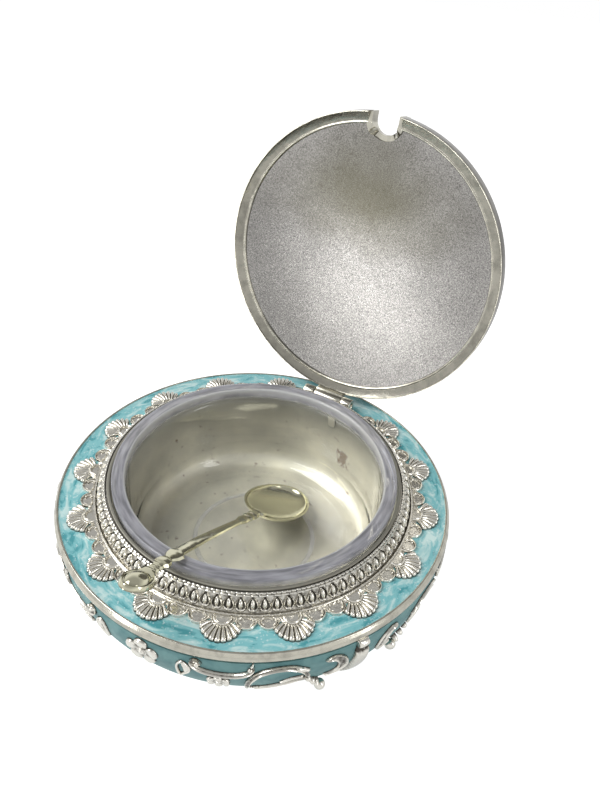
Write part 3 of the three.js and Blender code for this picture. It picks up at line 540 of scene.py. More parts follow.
def strip(form, place, knots, half, height, shares=(1, 1), section=TWO_RIDGES, loop=False, spacing=0.45):
    """A strip of relief along a curve, with its width as shares along it and rounded ends."""
    path = smooth_path(knots, spacing, loop)
    if loop:
        path = path[:-1]
        ways = np.roll(path, -1, 0) - np.roll(path, 1, 0)
    else:
        ways = np.gradient(path, axis=0)
    ways /= np.hypot(*ways.T)[:, None]
    at = np.linspace(0, 1, len(path))
    width = half * np.interp(at, np.linspace(0, 1, len(shares)), shares)
    taper = np.ones(len(path))
    if not loop:
        from_end = np.minimum(np.arange(len(path)), np.arange(len(path))[::-1]) * spacing
        taper = np.sqrt(np.clip(1 - np.clip(1 - from_end / half, 0, 1) ** 2, 0.03, 1))
    aside = section[:, 0] * (width * taper)[:, None]
    lift = section[:, 1] * (height * taper)[:, None]
    along = path[:, :1] - ways[:, 1:] * aside
    drop = path[:, 1:] + ways[:, :1] * aside
    top = place(along, drop, lift)
    foot = place(along[:, [-1, 0]], drop[:, [-1, 0]], -SUNK)
    rows = np.concatenate([top, foot], 1)
    # The low places across the strip and its sides carry the hollow share, which paints them in shade.
    hollow = np.concatenate([1 - section[:, 1], [1, 1]]) + 0 * rows[..., 0]
    if loop:
        form.grid(rows, hollow, wrap_rows=True, wrap_columns=True)
    else:
        form.tube(rows, hollow)


# Materials: each look adds its nodes and gives the inputs of its shader

COLOUR_MIX = {"out": 2, "data_type": "RGBA"}
SMOOTH = {"interpolation_type": "SMOOTHSTEP"}

# Middle of the darker olive patch in the open lid and how far it reaches, and place of the water mark in the
# cup.
OLIVE_PATCH_PLACE = (-0.003, 0.094, 0.14)
OLIVE_PATCH_REACH = (0.05, 0.05, 0.026)
MARK_PLACE = (0.0166, 0.0548, 0.0296)


def add_node(tree, kind, inputs=(), out=0, **settings):
    """Adds a shader node with its settings and gives one of its outputs. Inputs map a socket's name or
    number to a value or to the output of another node."""
    node = tree.nodes.new("ShaderNode" + kind)
    for key, value in settings.items():
        setattr(node, key, value)
    for key, value in dict(inputs).items():
        if isinstance(value, bpy.types.NodeSocket):
            tree.links.new(value, node.inputs[key])
        else:
            node.inputs[key].default_value = value
    return node.outputs[out] if node.outputs else None


def start(name):
    """An empty material and its node tree."""
    material = bpy.data.materials.new(name)
    material.use_nodes = True
    material.node_tree.nodes.clear()
    return material, material.node_tree


def rgba(value, share=1.0):
    return (*[part * share for part in value], 1.0)


def scale(millimetres):
    """A texture's scale for features of a real size."""
    return 1 / (millimetres * MM)


def metal(tone, rough, bump):
    return {"Base Color": tone, "Metallic": 1.0, "Roughness": rough, "Normal": bump}


def round_axis(tree, place, radius):
    """A place's direction from the box's axis, laid on a ring, and its distance from the axis."""
    flat = add_node(tree, "VectorMath", {0: place, 1: (1, 1, 0)}, operation="MULTIPLY")
    way = add_node(tree, "VectorMath", {0: flat}, operation="NORMALIZE")
    ring = add_node(tree, "VectorMath", {0: way, "Scale": radius}, operation="SCALE")
    return ring, add_node(tree, "VectorMath", {0: flat}, "Value", operation="LENGTH")


def plated_zinc(tree, place, depth, sizes, colours):
    """Plated zinc casting: bright crests, with painted shade that darkens its hollows unevenly."""
    cloud = add_node(tree, "TexNoise", {"Vector": place, "Scale": scale(1.2), "Detail": 4.0})
    uneven = add_node(tree, "MapRange", {0: cloud, 1: 0.3, 2: 0.7, 3: -0.16, 4: 0.16})
    # Painted shade: the hollow share, made uneven by the cloud, darkens the plating toward the hollow colour
    # in the ornament's low places.
    uneven_shade = add_node(tree, "Math", {0: depth, 1: uneven}, operation="ADD")
    dark = add_node(tree, "MapRange", {0: uneven_shade, 1: 0.3, 2: 0.95}, **SMOOTH)
    tone = add_node(tree, "Mix", {0: dark, 6: rgba(colours.crest), 7: rgba(colours.hollow)}, **COLOUR_MIX)
    rough = add_node(tree, "MapRange", {0: dark, 3: 0.2, 4: 0.5})
    # Casting skin of about 0.25 mm, drawn just coarse enough to break up the highlights.
    skin = add_node(tree, "TexNoise", {"Vector": place, "Scale": scale(0.5), "Detail": 2.0})
    bump = add_node(tree, "Bump", {"Height": skin, "Distance": 0.06 * MM, "Strength": 0.6})
    return metal(tone, rough, bump)


def polished_plating(tree, place, depth, sizes, colours):
    """Smooth plating, buffed by hand: soft waves in the shine and a few duller smears."""
    wave = add_node(tree, "TexNoise", {"Vector": place, "Scale": scale(4), "Detail": 3.0})
    smear = add_node(tree, "MapRange", {0: wave, 1: 0.42, 2: 0.8})
    dull = rgba(colours.bright, 0.62)
    tone = add_node(tree, "Mix", {0: smear, 6: rgba(colours.bright), 7: dull}, **COLOUR_MIX)
    # Painted reflection: the hollow share darkens the lid rim's outer wall toward the hollow colour, as a
    # dark reflection.
    tone = add_node(tree, "Mix", {0: depth, 6: tone, 7: rgba(colours.hollow)}, **COLOUR_MIX)
    rough = add_node(tree, "MapRange", {0: wave, 1: 0.3, 2: 0.7, 3: 0.1, 4: 0.26})
    bump = add_node(tree, "Bump", {"Height": wave, "Distance": 0.15 * MM, "Strength": 0.5})
    return metal(tone, rough, bump)


def sand_cast(tree, place, depth, sizes, colours):
    """Sand-cast zinc under thin plating: a fine grain that breaks the shine into sparks."""
    grain = add_node(
        tree, "TexNoise", {"Vector": place, "Scale": 1 / sizes.grain, "Detail": 3.0, "Roughness": 0.7}
    )
    cloud = add_node(tree, "TexNoise", {"Vector": place, "Scale": scale(22), "Detail": 4.0})
    pit = add_node(tree, "MapRange", {0: grain, 1: 0.36, 2: 0.64, 3: 0.55, 4: 1.45})
    haze = add_node(tree, "MapRange", {0: cloud, 1: 0.35, 2: 0.65, 3: 0.9, 4: 1.05})
    shade = add_node(tree, "Math", {0: pit, 1: haze}, operation="MULTIPLY")
    clean = add_node(tree, "VectorMath", {0: list(colours.cast), "Scale": shade}, operation="SCALE")
    # A darker olive patch lies over the dish's middle and fades out raggedly toward its edge.
    from_patch = add_node(tree, "VectorMath", {0: place, 1: OLIVE_PATCH_PLACE}, operation="SUBTRACT")
    reach = [1 / half for half in OLIVE_PATCH_REACH]
    spread = add_node(tree, "VectorMath", {0: from_patch, 1: reach}, operation="MULTIPLY")
    away = add_node(tree, "VectorMath", {0: spread}, "Value", operation="LENGTH")
    ragged = add_node(tree, "Math", {0: cloud, 1: 0.9, 2: away}, operation="MULTIPLY_ADD")
    olive_patch = add_node(tree, "MapRange", {0: ragged, 1: 0.5, 2: 1.7, 3: 0.75, 4: 0.0}, **SMOOTH)
    tone = add_node(tree, "Mix", {0: olive_patch, 6: clean, 7: rgba(colours.olive_patch)}, **COLOUR_MIX)
    bump = add_node(tree, "Bump", {"Height": grain, "Distance": 0.022 * MM, "Strength": 0.7})
    return metal(tone, 0.22, bump)


def spun_cup(tree, place, depth, sizes, colours):
    """Drawn sheet metal with thin plating: satin, with cloudy patches."""
    cloud = add_node(tree, "TexNoise", {"Vector": place, "Scale": scale(18), "Detail": 4.0})
    shade = add_node(tree, "MapRange", {0: cloud, 1: 0.3, 2: 0.7, 3: 0.84, 4: 1.12})
    tone = add_node(tree, "VectorMath", {0: list(colours.cup), "Scale": shade}, operation="SCALE")
    # A brown water mark, broken up by a finer noise.
    speck = add_node(tree, "TexNoise", {"Vector": place, "Scale": scale(3), "Detail": 3.0})
    from_mark = add_node(tree, "VectorMath", {0: place, 1: MARK_PLACE}, operation="SUBTRACT")
    away = add_node(tree, "VectorMath", {0: from_mark}, "Value", operation="LENGTH")
    near = add_node(tree, "MapRange", {0: away, 1: 1 * MM, 2: 7 * MM, 3: 0.32, 4: -0.1})
    both = add_node(tree, "Math", {0: near, 1: speck}, operation="ADD")
    mark = add_node(tree, "MapRange", {0: both, 1: 0.56, 2: 0.72, 3: 0.0, 4: 0.8})
    tone = add_node(tree, "Mix", {0: mark, 6: tone, 7: rgba(colours.mark)}, **COLOUR_MIX)
    # The lip and the tab are buffed greyer.
    tone = add_node(tree, "Mix", {0: depth, 6: tone, 7: rgba(colours.bright, 0.55)}, **COLOUR_MIX)
    rough = add_node(tree, "MapRange", {0: cloud, 1: 0.3, 2: 0.7, 3: 0.54, 4: 0.68})
    bump = add_node(tree, "Bump", {"Height": cloud, "Distance": 0.3 * MM, "Strength": 0.3})
    return metal(tone, rough, bump)


def gilt_spoon(tree, place, depth, sizes, colours):
    """Stamped spoon with pale gilt plating: bright and slightly wavy, with painted shade in the ornament's
    necks and grooves.
    """
    wave = add_node(tree, "TexNoise", {"Vector": place, "Scale": scale(6), "Detail": 2.0})
    dark = rgba(colours.spoon, 0.3)
    # Painted shade: the hollow share darkens the gilt toward a third of its colour.
    tone = add_node(tree, "Mix", {0: depth, 6: rgba(colours.spoon), 7: dark}, **COLOUR_MIX)
    rough = add_node(tree, "MapRange", {0: wave, 1: 0.3, 2: 0.7, 3: 0.07, 4: 0.16})
    bump = add_node(tree, "Bump", {"Height": wave, "Distance": 0.3 * MM, "Strength": 0.4})
    return metal(tone, rough, bump)


def pearl_enamel(tree, place, depth, sizes, colours):
    """Poured enamel with pearl pigment under a clear coat: streaks, swirls and glitter."""
    # Round the box the streaks are drawn out, as a brush would leave them.
    ring, reach = round_axis(tree, place, 70 * MM)
    height = add_node(tree, "SeparateXYZ", {0: place}, "Z")
    outward = add_node(tree, "Math", {0: reach, 1: height}, operation="ADD")
    drawn = add_node(tree, "Math", {0: outward, 1: 2.6}, operation="MULTIPLY")
    upright = add_node(tree, "CombineXYZ", {"Z": drawn})
    bent = add_node(tree, "VectorMath", {0: ring, 1: upright}, operation="ADD")
    streak = add_node(
        tree,
        "TexNoise",
        {"Vector": bent, "Scale": 1 / sizes.swirl, "Detail": 4.0, "Roughness": 0.55, "Distortion": 0.9},
    )
    pale = add_node(tree, "MapRange", {0: streak, 1: 0.48, 2: 0.66}, **SMOOTH)
    deep = add_node(tree, "MapRange", {0: streak, 1: 0.46, 2: 0.34}, **SMOOTH)
    # Glitter flakes, each a cell that is bright at random.
    cells = add_node(tree, "TexVoronoi", {"Vector": place, "Scale": 1 / sizes.flake}, "Color")
    chance = add_node(tree, "SeparateColor", {0: cells})
    glint = add_node(tree, "MapRange", {0: chance, 1: 0.9, 2: 1.0, 3: 0.0, 4: 0.5})
    tone = rgba(colours.deck_middle)
    for share, over in ((pale, colours.deck_pale), (deep, colours.deck_deep), (glint, colours.flake)):
        tone = add_node(tree, "Mix", {0: share, 6: tone, 7: rgba(over)}, **COLOUR_MIX)
    bump = add_node(tree, "Bump", {"Height": streak, "Distance": 0.8 * MM, "Strength": 0.3})
    return {
        "Base Color": tone,
        "Roughness": 0.34,
        "IOR": 1.5,
        "Normal": bump,
        "Coat Weight": 1.0,
        "Coat Roughness": 0.04,
    }


def wall_enamel(tree, place, depth, sizes, colours):
    """Thin translucent enamel over the casting: darker where it is deep, and dulled by handling."""
    cloud = add_node(
        tree, "TexNoise", {"Vector": place, "Scale": scale(8), "Detail": 4.0, "Distortion": 0.6}
    )
    deep = add_node(tree, "MapRange", {0: cloud, 1: 0.35, 2: 0.7}, **SMOOTH)
    tones = {6: rgba(colours.wall_middle), 7: rgba(colours.wall_deep)}
    tone = add_node(tree, "Mix", {0: deep, **tones}, **COLOUR_MIX)
    bump = add_node(tree, "Bump", {"Height": cloud, "Distance": 0.8 * MM, "Strength": 0.3})
    return {
        "Base Color": tone,
        "Roughness": 0.45,
        "IOR": 1.5,
        "Specular IOR Level": 0.3,
        "Normal": bump,
    }


def pressed_glass(tree, place, milky, sizes, colours):
    """Soda-lime glass, pressed in a mould: clear, with faint waves, and milky where it is ground."""
    wave = add_node(tree, "TexNoise", {"Vector": place, "Scale": scale(20), "Detail": 1.0})
    bump = add_node(tree, "Bump", {"Height": wave, "Distance": 0.5 * MM, "Strength": 0.15})
    clear = add_node(tree, "MapRange", {0: milky, 3: 1.0, 4: 0.45})
    # Grinding left streaks along the rim.
    ring, reach = round_axis(tree, place, 6 * MM)
    upright = add_node(tree, "CombineXYZ", {"Z": reach})
    bent = add_node(tree, "VectorMath", {0: ring, 1: upright}, operation="ADD")
    streak = add_node(tree, "TexNoise", {"Vector": bent, "Scale": scale(1.3), "Detail": 3.0})
    shade = add_node(tree, "MapRange", {0: streak, 1: 0.35, 2: 0.68, 3: 0.72, 4: 1.45})
    ground = add_node(
        tree, "VectorMath", {0: list(colours.ground_glass), "Scale": shade}, operation="SCALE"
    )
    tint = add_node(tree, "Mix", {0: milky, 6: rgba(colours.glass), 7: ground}, **COLOUR_MIX)
    edge = add_node(tree, "MapRange", {0: milky, 1: 1.0, 2: 2.0})
    tint = add_node(tree, "Mix", {0: edge, 6: tint, 7: rgba(colours.glass)}, **COLOUR_MIX)
    return {
        "Base Color": tint,
        "Roughness": 0.03,
        "IOR": 1.52,
        "Transmission Weight": clear,
        "Normal": bump,
    }


FINISHES = {
    # The relief finish is plated zinc with painted shade in its hollows.
    "relief": ("Plated zinc with painted shade", plated_zinc),
    "bright": ("Buffed plated zinc", polished_plating),
    "cast": ("Sand-cast plated zinc", sand_cast),
    "cup": ("Drawn and plated sheet", spun_cup),
    "spoon": ("Pale gilt plating", gilt_spoon),
    "deck": ("Pearl enamel", pearl_enamel),
    "wall": ("Translucent enamel", wall_enamel),
    "glass": ("Pressed soda-lime glass", pressed_glass),
}
made_finishes = {}


def finishes():
    """The materials, made at first use."""
    if made_finishes:
        return made_finishes
    scene = bpy.context.scene
    colours = scene.fruit_box_colours
    for finish, (name, look) in FINISHES.items():
        material, tree = start(name)
        place = add_node(tree, "TexCoord", out="Object")
        depth = add_node(tree, "Attribute", out="Fac", attribute_name="hollow")
        surface = add_node(tree, "BsdfPrincipled", look(tree, place, depth, scene.fruit_box_sizes, colours))
        if finish == "glass":
            # Lamps reach what is behind the glass.
            through = add_node(tree, "BsdfTransparent", {"Color": rgba(colours.glass_shade)})
            shadow = add_node(tree, "LightPath", out="Is Shadow Ray")
            surface = add_node(tree, "MixShader", {0: shadow, 1: surface, 2: through})
        add_node(tree, "OutputMaterial", {"Surface": surface})
        made_finishes[finish] = material
    return made_finishes


# Builders

CAMERA_PLACE = (0.10725, -0.18307, 0.25618)
CAMERA_TURN = 0.4573
CAMERA_RISE = 0.6555
CAMERA_ROLL = 0.0772
PAPER_SHINE = 0.85  # how white the paper shines to the eye, besides the light on it
MIRRORED_SHINE = 0.4  # the same in metal and through glass


class FRUITBOX_OT_studio(Operator):
    """Make the floor, the world, the lamps and the camera"""

    bl_idname = "fruit_box.studio"
    bl_label = "Studio"

    def execute(self, context):
        studio = context.scene.fruit_box_studio
        mesh = bpy.data.meshes.new("studio_floor")
        work = bmesh.new()
        bmesh.ops.create_circle(work, cap_ends=True, radius=studio.floor_radius, segments=64)
        work.to_mesh(mesh)
        work.free()
        floor = bpy.data.objects.new("studio_floor", mesh)
        context.scene.collection.objects.link(floor)

        # Matt paper: white to the eye, the metal and the glass, and it keeps the object's shadow.
        material, tree = start("Matt white paper")
        path = add_node(tree, "LightPath").node.outputs
        seen = add_node(
            tree, "Math", {0: path["Is Glossy Ray"], 1: path["Is Transmission Ray"]}, operation="ADD"
        )
        dimmed = add_node(tree, "Math", {0: seen, 1: MIRRORED_SHINE}, operation="MULTIPLY")
        lit = add_node(
            tree,
            "Math",
            {0: path["Is Camera Ray"], 1: PAPER_SHINE, 2: dimmed},
            operation="MULTIPLY_ADD",
            use_clamp=True,
        )
        paper = add_node(tree, "BsdfDiffuse", {"Color": rgba(context.scene.fruit_box_colours.floor)})
        white = add_node(tree, "Emission", {"Strength": lit})
        both = add_node(tree, "AddShader", {0: paper, 1: white})
        add_node(tree, "OutputMaterial", {"Surface": both})
        mesh.materials.append(material)

        world = bpy.data.worlds.new("Studio room")
        context.scene.world = world
        world.use_nodes = True
        tree = world.node_tree
        tree.nodes.clear()
        path = add_node(tree, "LightPath").node.outputs
        seen = add_node(tree, "Math", {0: path["Is Camera Ray"], 1: path["Is Glossy Ray"]}, operation="ADD")
        seen = add_node(
            tree, "Math", {0: seen, 1: path["Is Transmission Ray"]}, operation="ADD", use_clamp=True
        )
        strength = add_node(tree, "MapRange", {0: seen, 3: studio.room, 4: 1.0})
        # White walls under a greyer ceiling, which the lamps stand out from in the metal.
        way = add_node(tree, "TexCoord", out="Generated")
        rise = add_node(tree, "SeparateXYZ", {0: way}, "Z")
        shade = add_node(tree, "MapRange", {0: rise, 1: 0.15, 2: 0.75, 3: 1.0, 4: 0.45}, **SMOOTH)
        sky = add_node(tree, "Background", {"Color": shade, "Strength": strength})
        add_node(tree, "OutputWorld", {"Surface": sky})

        # Name, place, aim, sides and power of each lamp.
        lamps = [
            ("top_lamp", (-0.42, -0.27, 0.62), (0, 0, 0.05), (0.5, 0.5), studio.top_power),
            ("front_lamp", (-0.17, -0.38, 0.066), (0, 0.03, 0.09), (0.06, 0.06), studio.front_power),
            ("side_lamp", (0.6, -0.1, 0.35), (0, 0, 0.05), (0.12, 0.6), studio.side_power),
        ]
        for name, place, aim, sides, power in lamps:
            lamp = bpy.data.lights.new(name, "AREA")
            lamp.shape = "RECTANGLE"
            lamp.size, lamp.size_y = sides
            lamp.energy = power
            made = bpy.data.objects.new(name, lamp)
            made.location = place
            made.rotation_euler = (Vector(aim) - Vector(place)).to_track_quat("-Z", "Y").to_euler()
            made.visible_camera = False
            context.scene.collection.objects.link(made)

        camera = bpy.data.cameras.new("camera")
        camera.lens = studio.lens
        camera.sensor_width = 36
        camera.clip_start = 0.01
        made = bpy.data.objects.new("camera", camera)
        level = Vector((math.cos(CAMERA_TURN), math.sin(CAMERA_TURN), 0))
        behind = Vector((math.sin(CAMERA_TURN), -math.cos(CAMERA_TURN), 0))
        back = math.cos(CAMERA_RISE) * behind + math.sin(CAMERA_RISE) * Vector((0, 0, 1))
        right = math.cos(CAMERA_ROLL) * level + math.sin(CAMERA_ROLL) * back.cross(level)
        axes = Matrix((right, back.cross(right), back)).transposed().to_4x4()
        made.matrix_world = Matrix.Translation(CAMERA_PLACE) @ axes
        context.scene.collection.objects.link(made)
        context.scene.camera = made
        context.scene.view_settings.view_transform = "Standard"
        return {"FINISHED"}


def wall_profile(start, end, lift, steps):
    """Radius and height up the wall, at a lift off the enamel."""
    height = np.linspace(start, end, steps)
    lean = (BELLY_Z - height) / WALL_CURVE
    square = np.hypot(1, lean)
    radius = BELLY_RADIUS - (BELLY_Z - height) ** 2 / (2 * WALL_CURVE) + lift / square
    return np.stack([radius, height - lift * lean / square], -1)


class FRUITBOX_OT_casing(Operator):
    """Build the cast body, its foot, the top ring and the band round the deck"""

    bl_idname = "fruit_box.casing"
    bl_label = "Casing"

    def execute(self, context):
        steps = context.scene.fruit_box_sizes.turning_steps
        form = Form()
        foot = [(FOOT_INNER, 0, 0.4), (FOOT_RADIUS + 0.4, 0, 0.6), (FOOT_RADIUS + 0.8, 2.4, 0.6)]
        top = DECK_UNDER - 0.3
        form.lathe(
            [
                *rounded(foot)[:-3],
                *wall_profile(3.3, top, -CASTING_OUTER, 20),
                *wall_profile(7.1, top, -CASTING_INNER, 12)[::-1],
                (FOOT_INNER, LEDGE_TOP),
                (LEDGE_INNER, LEDGE_TOP),
                (LEDGE_INNER, LEDGE_UNDER),
                (FOOT_INNER, LEDGE_UNDER),
            ],
            steps,
        )
        form.piece("cast_body", "casing", "relief", ["body_shell"])

        form = Form()
        form.lathe(
            rounded(
                [
                    (MOUTH_RADIUS, DECK_UNDER),
                    (DECK_RADIUS, DECK_UNDER),
                    (DECK_RADIUS, DECK_METAL, 0.3),
                    (EGG_FOOT[0] - 0.5, DECK_METAL),
                    (EGG_FOOT[0] - 0.5, EGG_FOOT[1]),
                    (EGG_TOP[0] - 0.6, EGG_TOP[1] - 0.2),
                    (MOUTH_RADIUS, EGG_TOP[1] - 0.2),
                ]
            ),
            steps,
            # Painted shade: the whole ring is darkened by this share.
            hollow=0.55,
        )
        form.piece("cast_top_ring", "casing", "relief", ["top_ring"])

        form = Form()
        inner = DECK_RADIUS + 0.1
        form.lathe(
            rounded(
                [
                    (inner, BAND_BOTTOM),
                    (BAND_RADIUS - 0.2, BAND_BOTTOM, 0.5),
                    (BAND_RADIUS + 0.3, BAND_BOTTOM + 0.9, 1.0),
                    (BAND_RADIUS + 0.2, BAND_TOP - 1.4, 1.0),
                    (inner + 0.9, BAND_TOP - 0.1, 0.5),
                    (inner + 0.7, BAND_TOP + 0.25, 0.2),
                    (inner, BAND_TOP + 0.25, 0.2),
                ]
            ),
            steps,
        )
        form.piece("deck_band", "casing", "bright", ["rim_band"])
        return {"FINISHED"}


class FRUITBOX_OT_enamels(Operator):
    """Pour the pearl enamel of the deck and the thin enamel of the wall"""

    bl_idname = "fruit_box.enamels"
    bl_label = "Enamels"

    def execute(self, context):
        steps = context.scene.fruit_box_sizes.turning_steps
        inner = COLLAR_FOOT + 0.9
        outer = DECK_RADIUS + 0.1
        bottom = DECK_TOP - ENAMEL
        form = Form()
        form.lathe(
            [
                (inner, bottom),
                (outer, bottom),
                (outer, DECK_TOP + 0.1),
                (outer - 0.6, DECK_TOP - 0.05),
                (outer - 1.5, DECK_TOP - 0.1),
                (72, DECK_TOP),
                (67, DECK_TOP),
                (inner, DECK_TOP),
            ],
            steps,
        )
        form.piece("pearl_deck", "casing", "deck", ["deck_enamel"])

        form = Form()
        bottom, top = 7.8, BAND_BOTTOM - 1
        face = wall_profile(bottom, top, 0, 24)
        back = wall_profile(bottom, top, -ENAMEL, 8)[::-1]
        form.lathe([*face, *back], steps)
        form.piece("enamel_wall", "casing", "wall", ["wall_enamel"])
        return {"FINISHED"}


class FRUITBOX_OT_lace(Operator):
    """Build the fans and arches on the deck and the string line inside them"""

    bl_idname = "fruit_box.lace"
    bl_label = "Lace on the deck"

    def execute(self, context):
        sizes = context.scene.fruit_box_sizes
        steps = sizes.turning_steps
        form = Form()
        under, top = DECK_TOP - SUNK, DECK_TOP + 0.3
        form.lathe(
            rounded([(LACE_INNER, under), (LACE_OUTER, under), (LACE_OUTER, top, 0.2), (LACE_INNER, top)]),
            steps,
            BACK + LACE_END,
            BACK + TURN - LACE_END,
            # Painted shade: the lace's base ring is lightly darkened.
            0.3,
        )
        for number, degrees in enumerate(FAN_TURNS):
            middle = math.radians(degrees)
            fan(
                form,
                deck_place(FAN_MIDDLE, middle),
                sizes.fan_radius / MM,
                sizes.fan_height / MM,
                sizes.fan_ribs,
            )
            for side in (-1, 1):
                # Two arches share the space between neighbouring fans.
                last = number + side in (-1, len(FAN_TURNS))
                space = LAST_SPACE if last else abs(FAN_TURNS[number + side] - degrees)
                place = deck_place(ARCH_MIDDLE, middle + side * math.radians(0.34 * space))
                arch(form, place, sizes.arch_radius / MM, sizes.arch_height / MM)
        form.piece("deck_lace", "casing", "relief", ["lace_ring"])

        form = Form()
        inner, outer, top = STRING_RADIUS - 0.35, STRING_RADIUS + 0.35, DECK_TOP + 1.2
        form.lathe(
            rounded([(inner, under), (outer, under), (outer, top, 0.35), (inner, top, 0.35)]),
            steps,
            BACK + EGG_END,
            BACK + TURN - EGG_END,
            # Painted shade: the string line is a little darkened.
            0.1,
        )
        form.piece("string_line", "casing", "relief", ["string_ring"])
        return {"FINISHED"}


def egg_height(across, up):
    """Height and hollow of one pointed egg, from -1 to 1 across it and 0 to 1 up it: an outline, a ridge
    and a drop."""
    narrow = 1 - np.clip((up - 0.4) / 0.57, 0, 1) ** 1.9
    blunt = np.hypot(across / 0.99, (0.4 - up) / 0.38)
    share = np.where(up < 0.4, blunt, np.abs(across) / (0.96 * narrow + 0.03))
    bold = (0.5 + 0.5 * np.clip((up - 0.2) / 0.3, 0, 1)) * np.clip((1.01 - up) / 0.05, 0, 1)
    outline = np.sqrt(np.clip(1 - ((share - 0.86) / 0.17) ** 2, 0, 1)) * bold
    ridge = np.sqrt(np.clip(1 - (across / 0.43) ** 2 - ((up - 0.5) / 0.33) ** 2, 0, 1))
    drop = 0.6 * np.sqrt(np.clip(1 - (across / 0.34) ** 2 - ((up - 0.13) / 0.08) ** 2, 0, 1))
    height = np.maximum.reduce(np.broadcast_arrays(outline, ridge, drop, 0.04))
    # The hollow share paints shade in the low places, deeper inside the outline than round it.
    return height, (1 - height) * np.where(share < 0.86, 0.95, 0.6)


class FRUITBOX_OT_collar(Operator):
    """Build the row of eggs on the collar's slope and the beads over it"""

    bl_idname = "fruit_box.collar"
    bl_label = "Collar ornament"

    def execute(self, context):
        sizes = context.scene.fruit_box_sizes
        slope = EGG_TOP - EGG_FOOT
        length = np.hypot(*slope)
        up = slope / length
        out = np.array([up[1], -up[0]])
        count = round(sizes.egg_count * (TURN - 2 * EGG_END) / TURN)
        across = np.linspace(0, count, count * 24 + 1)[None, :]
        share = np.concatenate([[-0.24, -0.02], np.linspace(0, 1, 29), [1.04, 1.07]])[:, None]
        height, hollow = egg_height(across % 1 * 2 - 1, share)
        angle = BACK + EGG_END + (TURN - 2 * EGG_END) * across / count
        along = length * share

        def place(lift):
            radius = EGG_FOOT[0] + up[0] * along + out[0] * lift
            return polar(radius, angle, EGG_FOOT[1] + up[1] * along + out[1] * lift)

        form = Form()
        form.blanket(place(sizes.egg_height / MM * height), place(-0.9 + 0 * height), hollow)
        form.piece("egg_row", "casing", "relief", ["egg_ring"])

        circle = np.linspace(0, TURN, 8, endpoint=False)[:, None]
        form = Form()
        rows = [(sizes.bead_count, BEAD_UPPER), (sizes.bead_count * 2 // 3, BEAD_LOWER)]
        for beads, (out, z) in rows:
            turn = np.linspace(0, TURN, beads * 8, endpoint=False)[None, :]
            bead = 0.5 + 0.5 * ripple(turn / TURN, beads)
            radius = out + BEAD_RADIUS * bead * np.cos(circle)
            height = z + BEAD_RADIUS * bead * np.sin(circle)
            # Painted shade over the beads, deepest between them.
            hollow = 0.25 + (1 - bead) * 1.2 + 0 * circle
            form.grid(polar(radius, turn, height), hollow, wrap_rows=True, wrap_columns=True)
        form.piece("bead_row", "casing", "relief", ["bead_ring"])
        return {"FINISHED"}


def round_wall(knots):
    """Frieze knots, given as degrees round from the flower and drop below the deck, in millimetres."""
    return [(math.radians(degrees) * BELLY_RADIUS, drop) for degrees, drop in knots]


COMMA_RING = round_wall(
    [(12.2, 7.9), (13.9, 10.2), (13.9, 12.9), (12.6, 15.4), (11.3, 17.6), (10.8, 14.4), (10.9, 10.4)]
)
COMMA_LEAF = round_wall([(12.2, 8.8), (13.2, 11.4), (12.8, 14.6)])
SCROLL = round_wall(
    [
        (17.0, 7.6), (16.5, 5.7), (15.3, 5.2), (14.7, 6.7), (15.5, 8.8), (17.4, 10.2), (20.0, 11.0),
        (23.2, 11.2), (26.0, 10.8), (28.2, 9.5), (29.4, 7.6), (29.6, 5.9), (29.1, 5.0),
    ]
)
SCROLL_WIDTHS = (0.5, 0.55, 0.6, 0.75, 0.95, 1, 1, 1, 1, 0.95, 0.8, 0.6, 0.4)
SCROLL_BALLS = round_wall([(16.0, 7.3), (29.0, 7.4)])
SCROLL_TIP = round_wall([(29.2, 6.0), (29.8, 4.0)])
ROSETTE = round_wall([(21.1, 17.3)])[0]
FRAME = round_wall(
    [
        (29.0, 24.5), (28.4, 20.5), (28.6, 16.5), (29.5, 13.0), (31.0, 10.0), (33.2, 8.2), (36.0, 7.4),
        (38.8, 7.6), (41.0, 8.9), (42.6, 11.2), (43.4, 14.2), (43.5, 17.0),
    ]
)
FRAME_WIDTHS = (0.6, 0.8, 0.9, 1, 1.1, 1.1, 1, 1, 1.1, 1, 0.8, 0.6)
FRAME_FOOT = round_wall([(29.4, 24.6), (33.6, 22.2), (38.2, 18.9), (41.0, 17.0), (43.4, 16.4)])
FRAME_BRANCH = round_wall([(36.4, 17.8), (39.4, 15.4), (42.4, 14.6)])
FRAME_LEAF = round_wall([(40.2, 8.4), (42.0, 9.6), (43.9, 10.4)])
FRAME_CURL = round_wall([(30.6, 23.0)])[0]
STALK = round_wall([(44.0, 18.8), (45.3, 21.1), (46.6, 23.3), (47.9, 25.5)])
HOOK = round_wall(
    [
        (47.7, 8.3), (49.6, 7.6), (51.4, 8.8), (52.7, 11.8), (53.0, 15.4), (52.0, 18.4), (50.0, 19.6),
        (48.2, 19.4),
    ]
)
HOOK_WIDTHS = (0.4, 0.8, 1.1, 1.3, 1.35, 1.2, 0.9, 0.5)
HOOK_TURN = math.radians(2)


def ball(form, place, middle, radius, lift):
    """A round ball that stands off the wall."""
    fall = np.linspace(math.pi / 2, -math.pi / 2, 13)[1:-1, None]
    turn = np.linspace(0, TURN, 20, endpoint=False)[None, :]
    along = middle[0] + radius * np.cos(fall) * np.cos(turn)
    drop = middle[1] + radius * np.cos(fall) * np.sin(turn)
    form.tube(place(along, drop, lift + radius * np.sin(fall)))


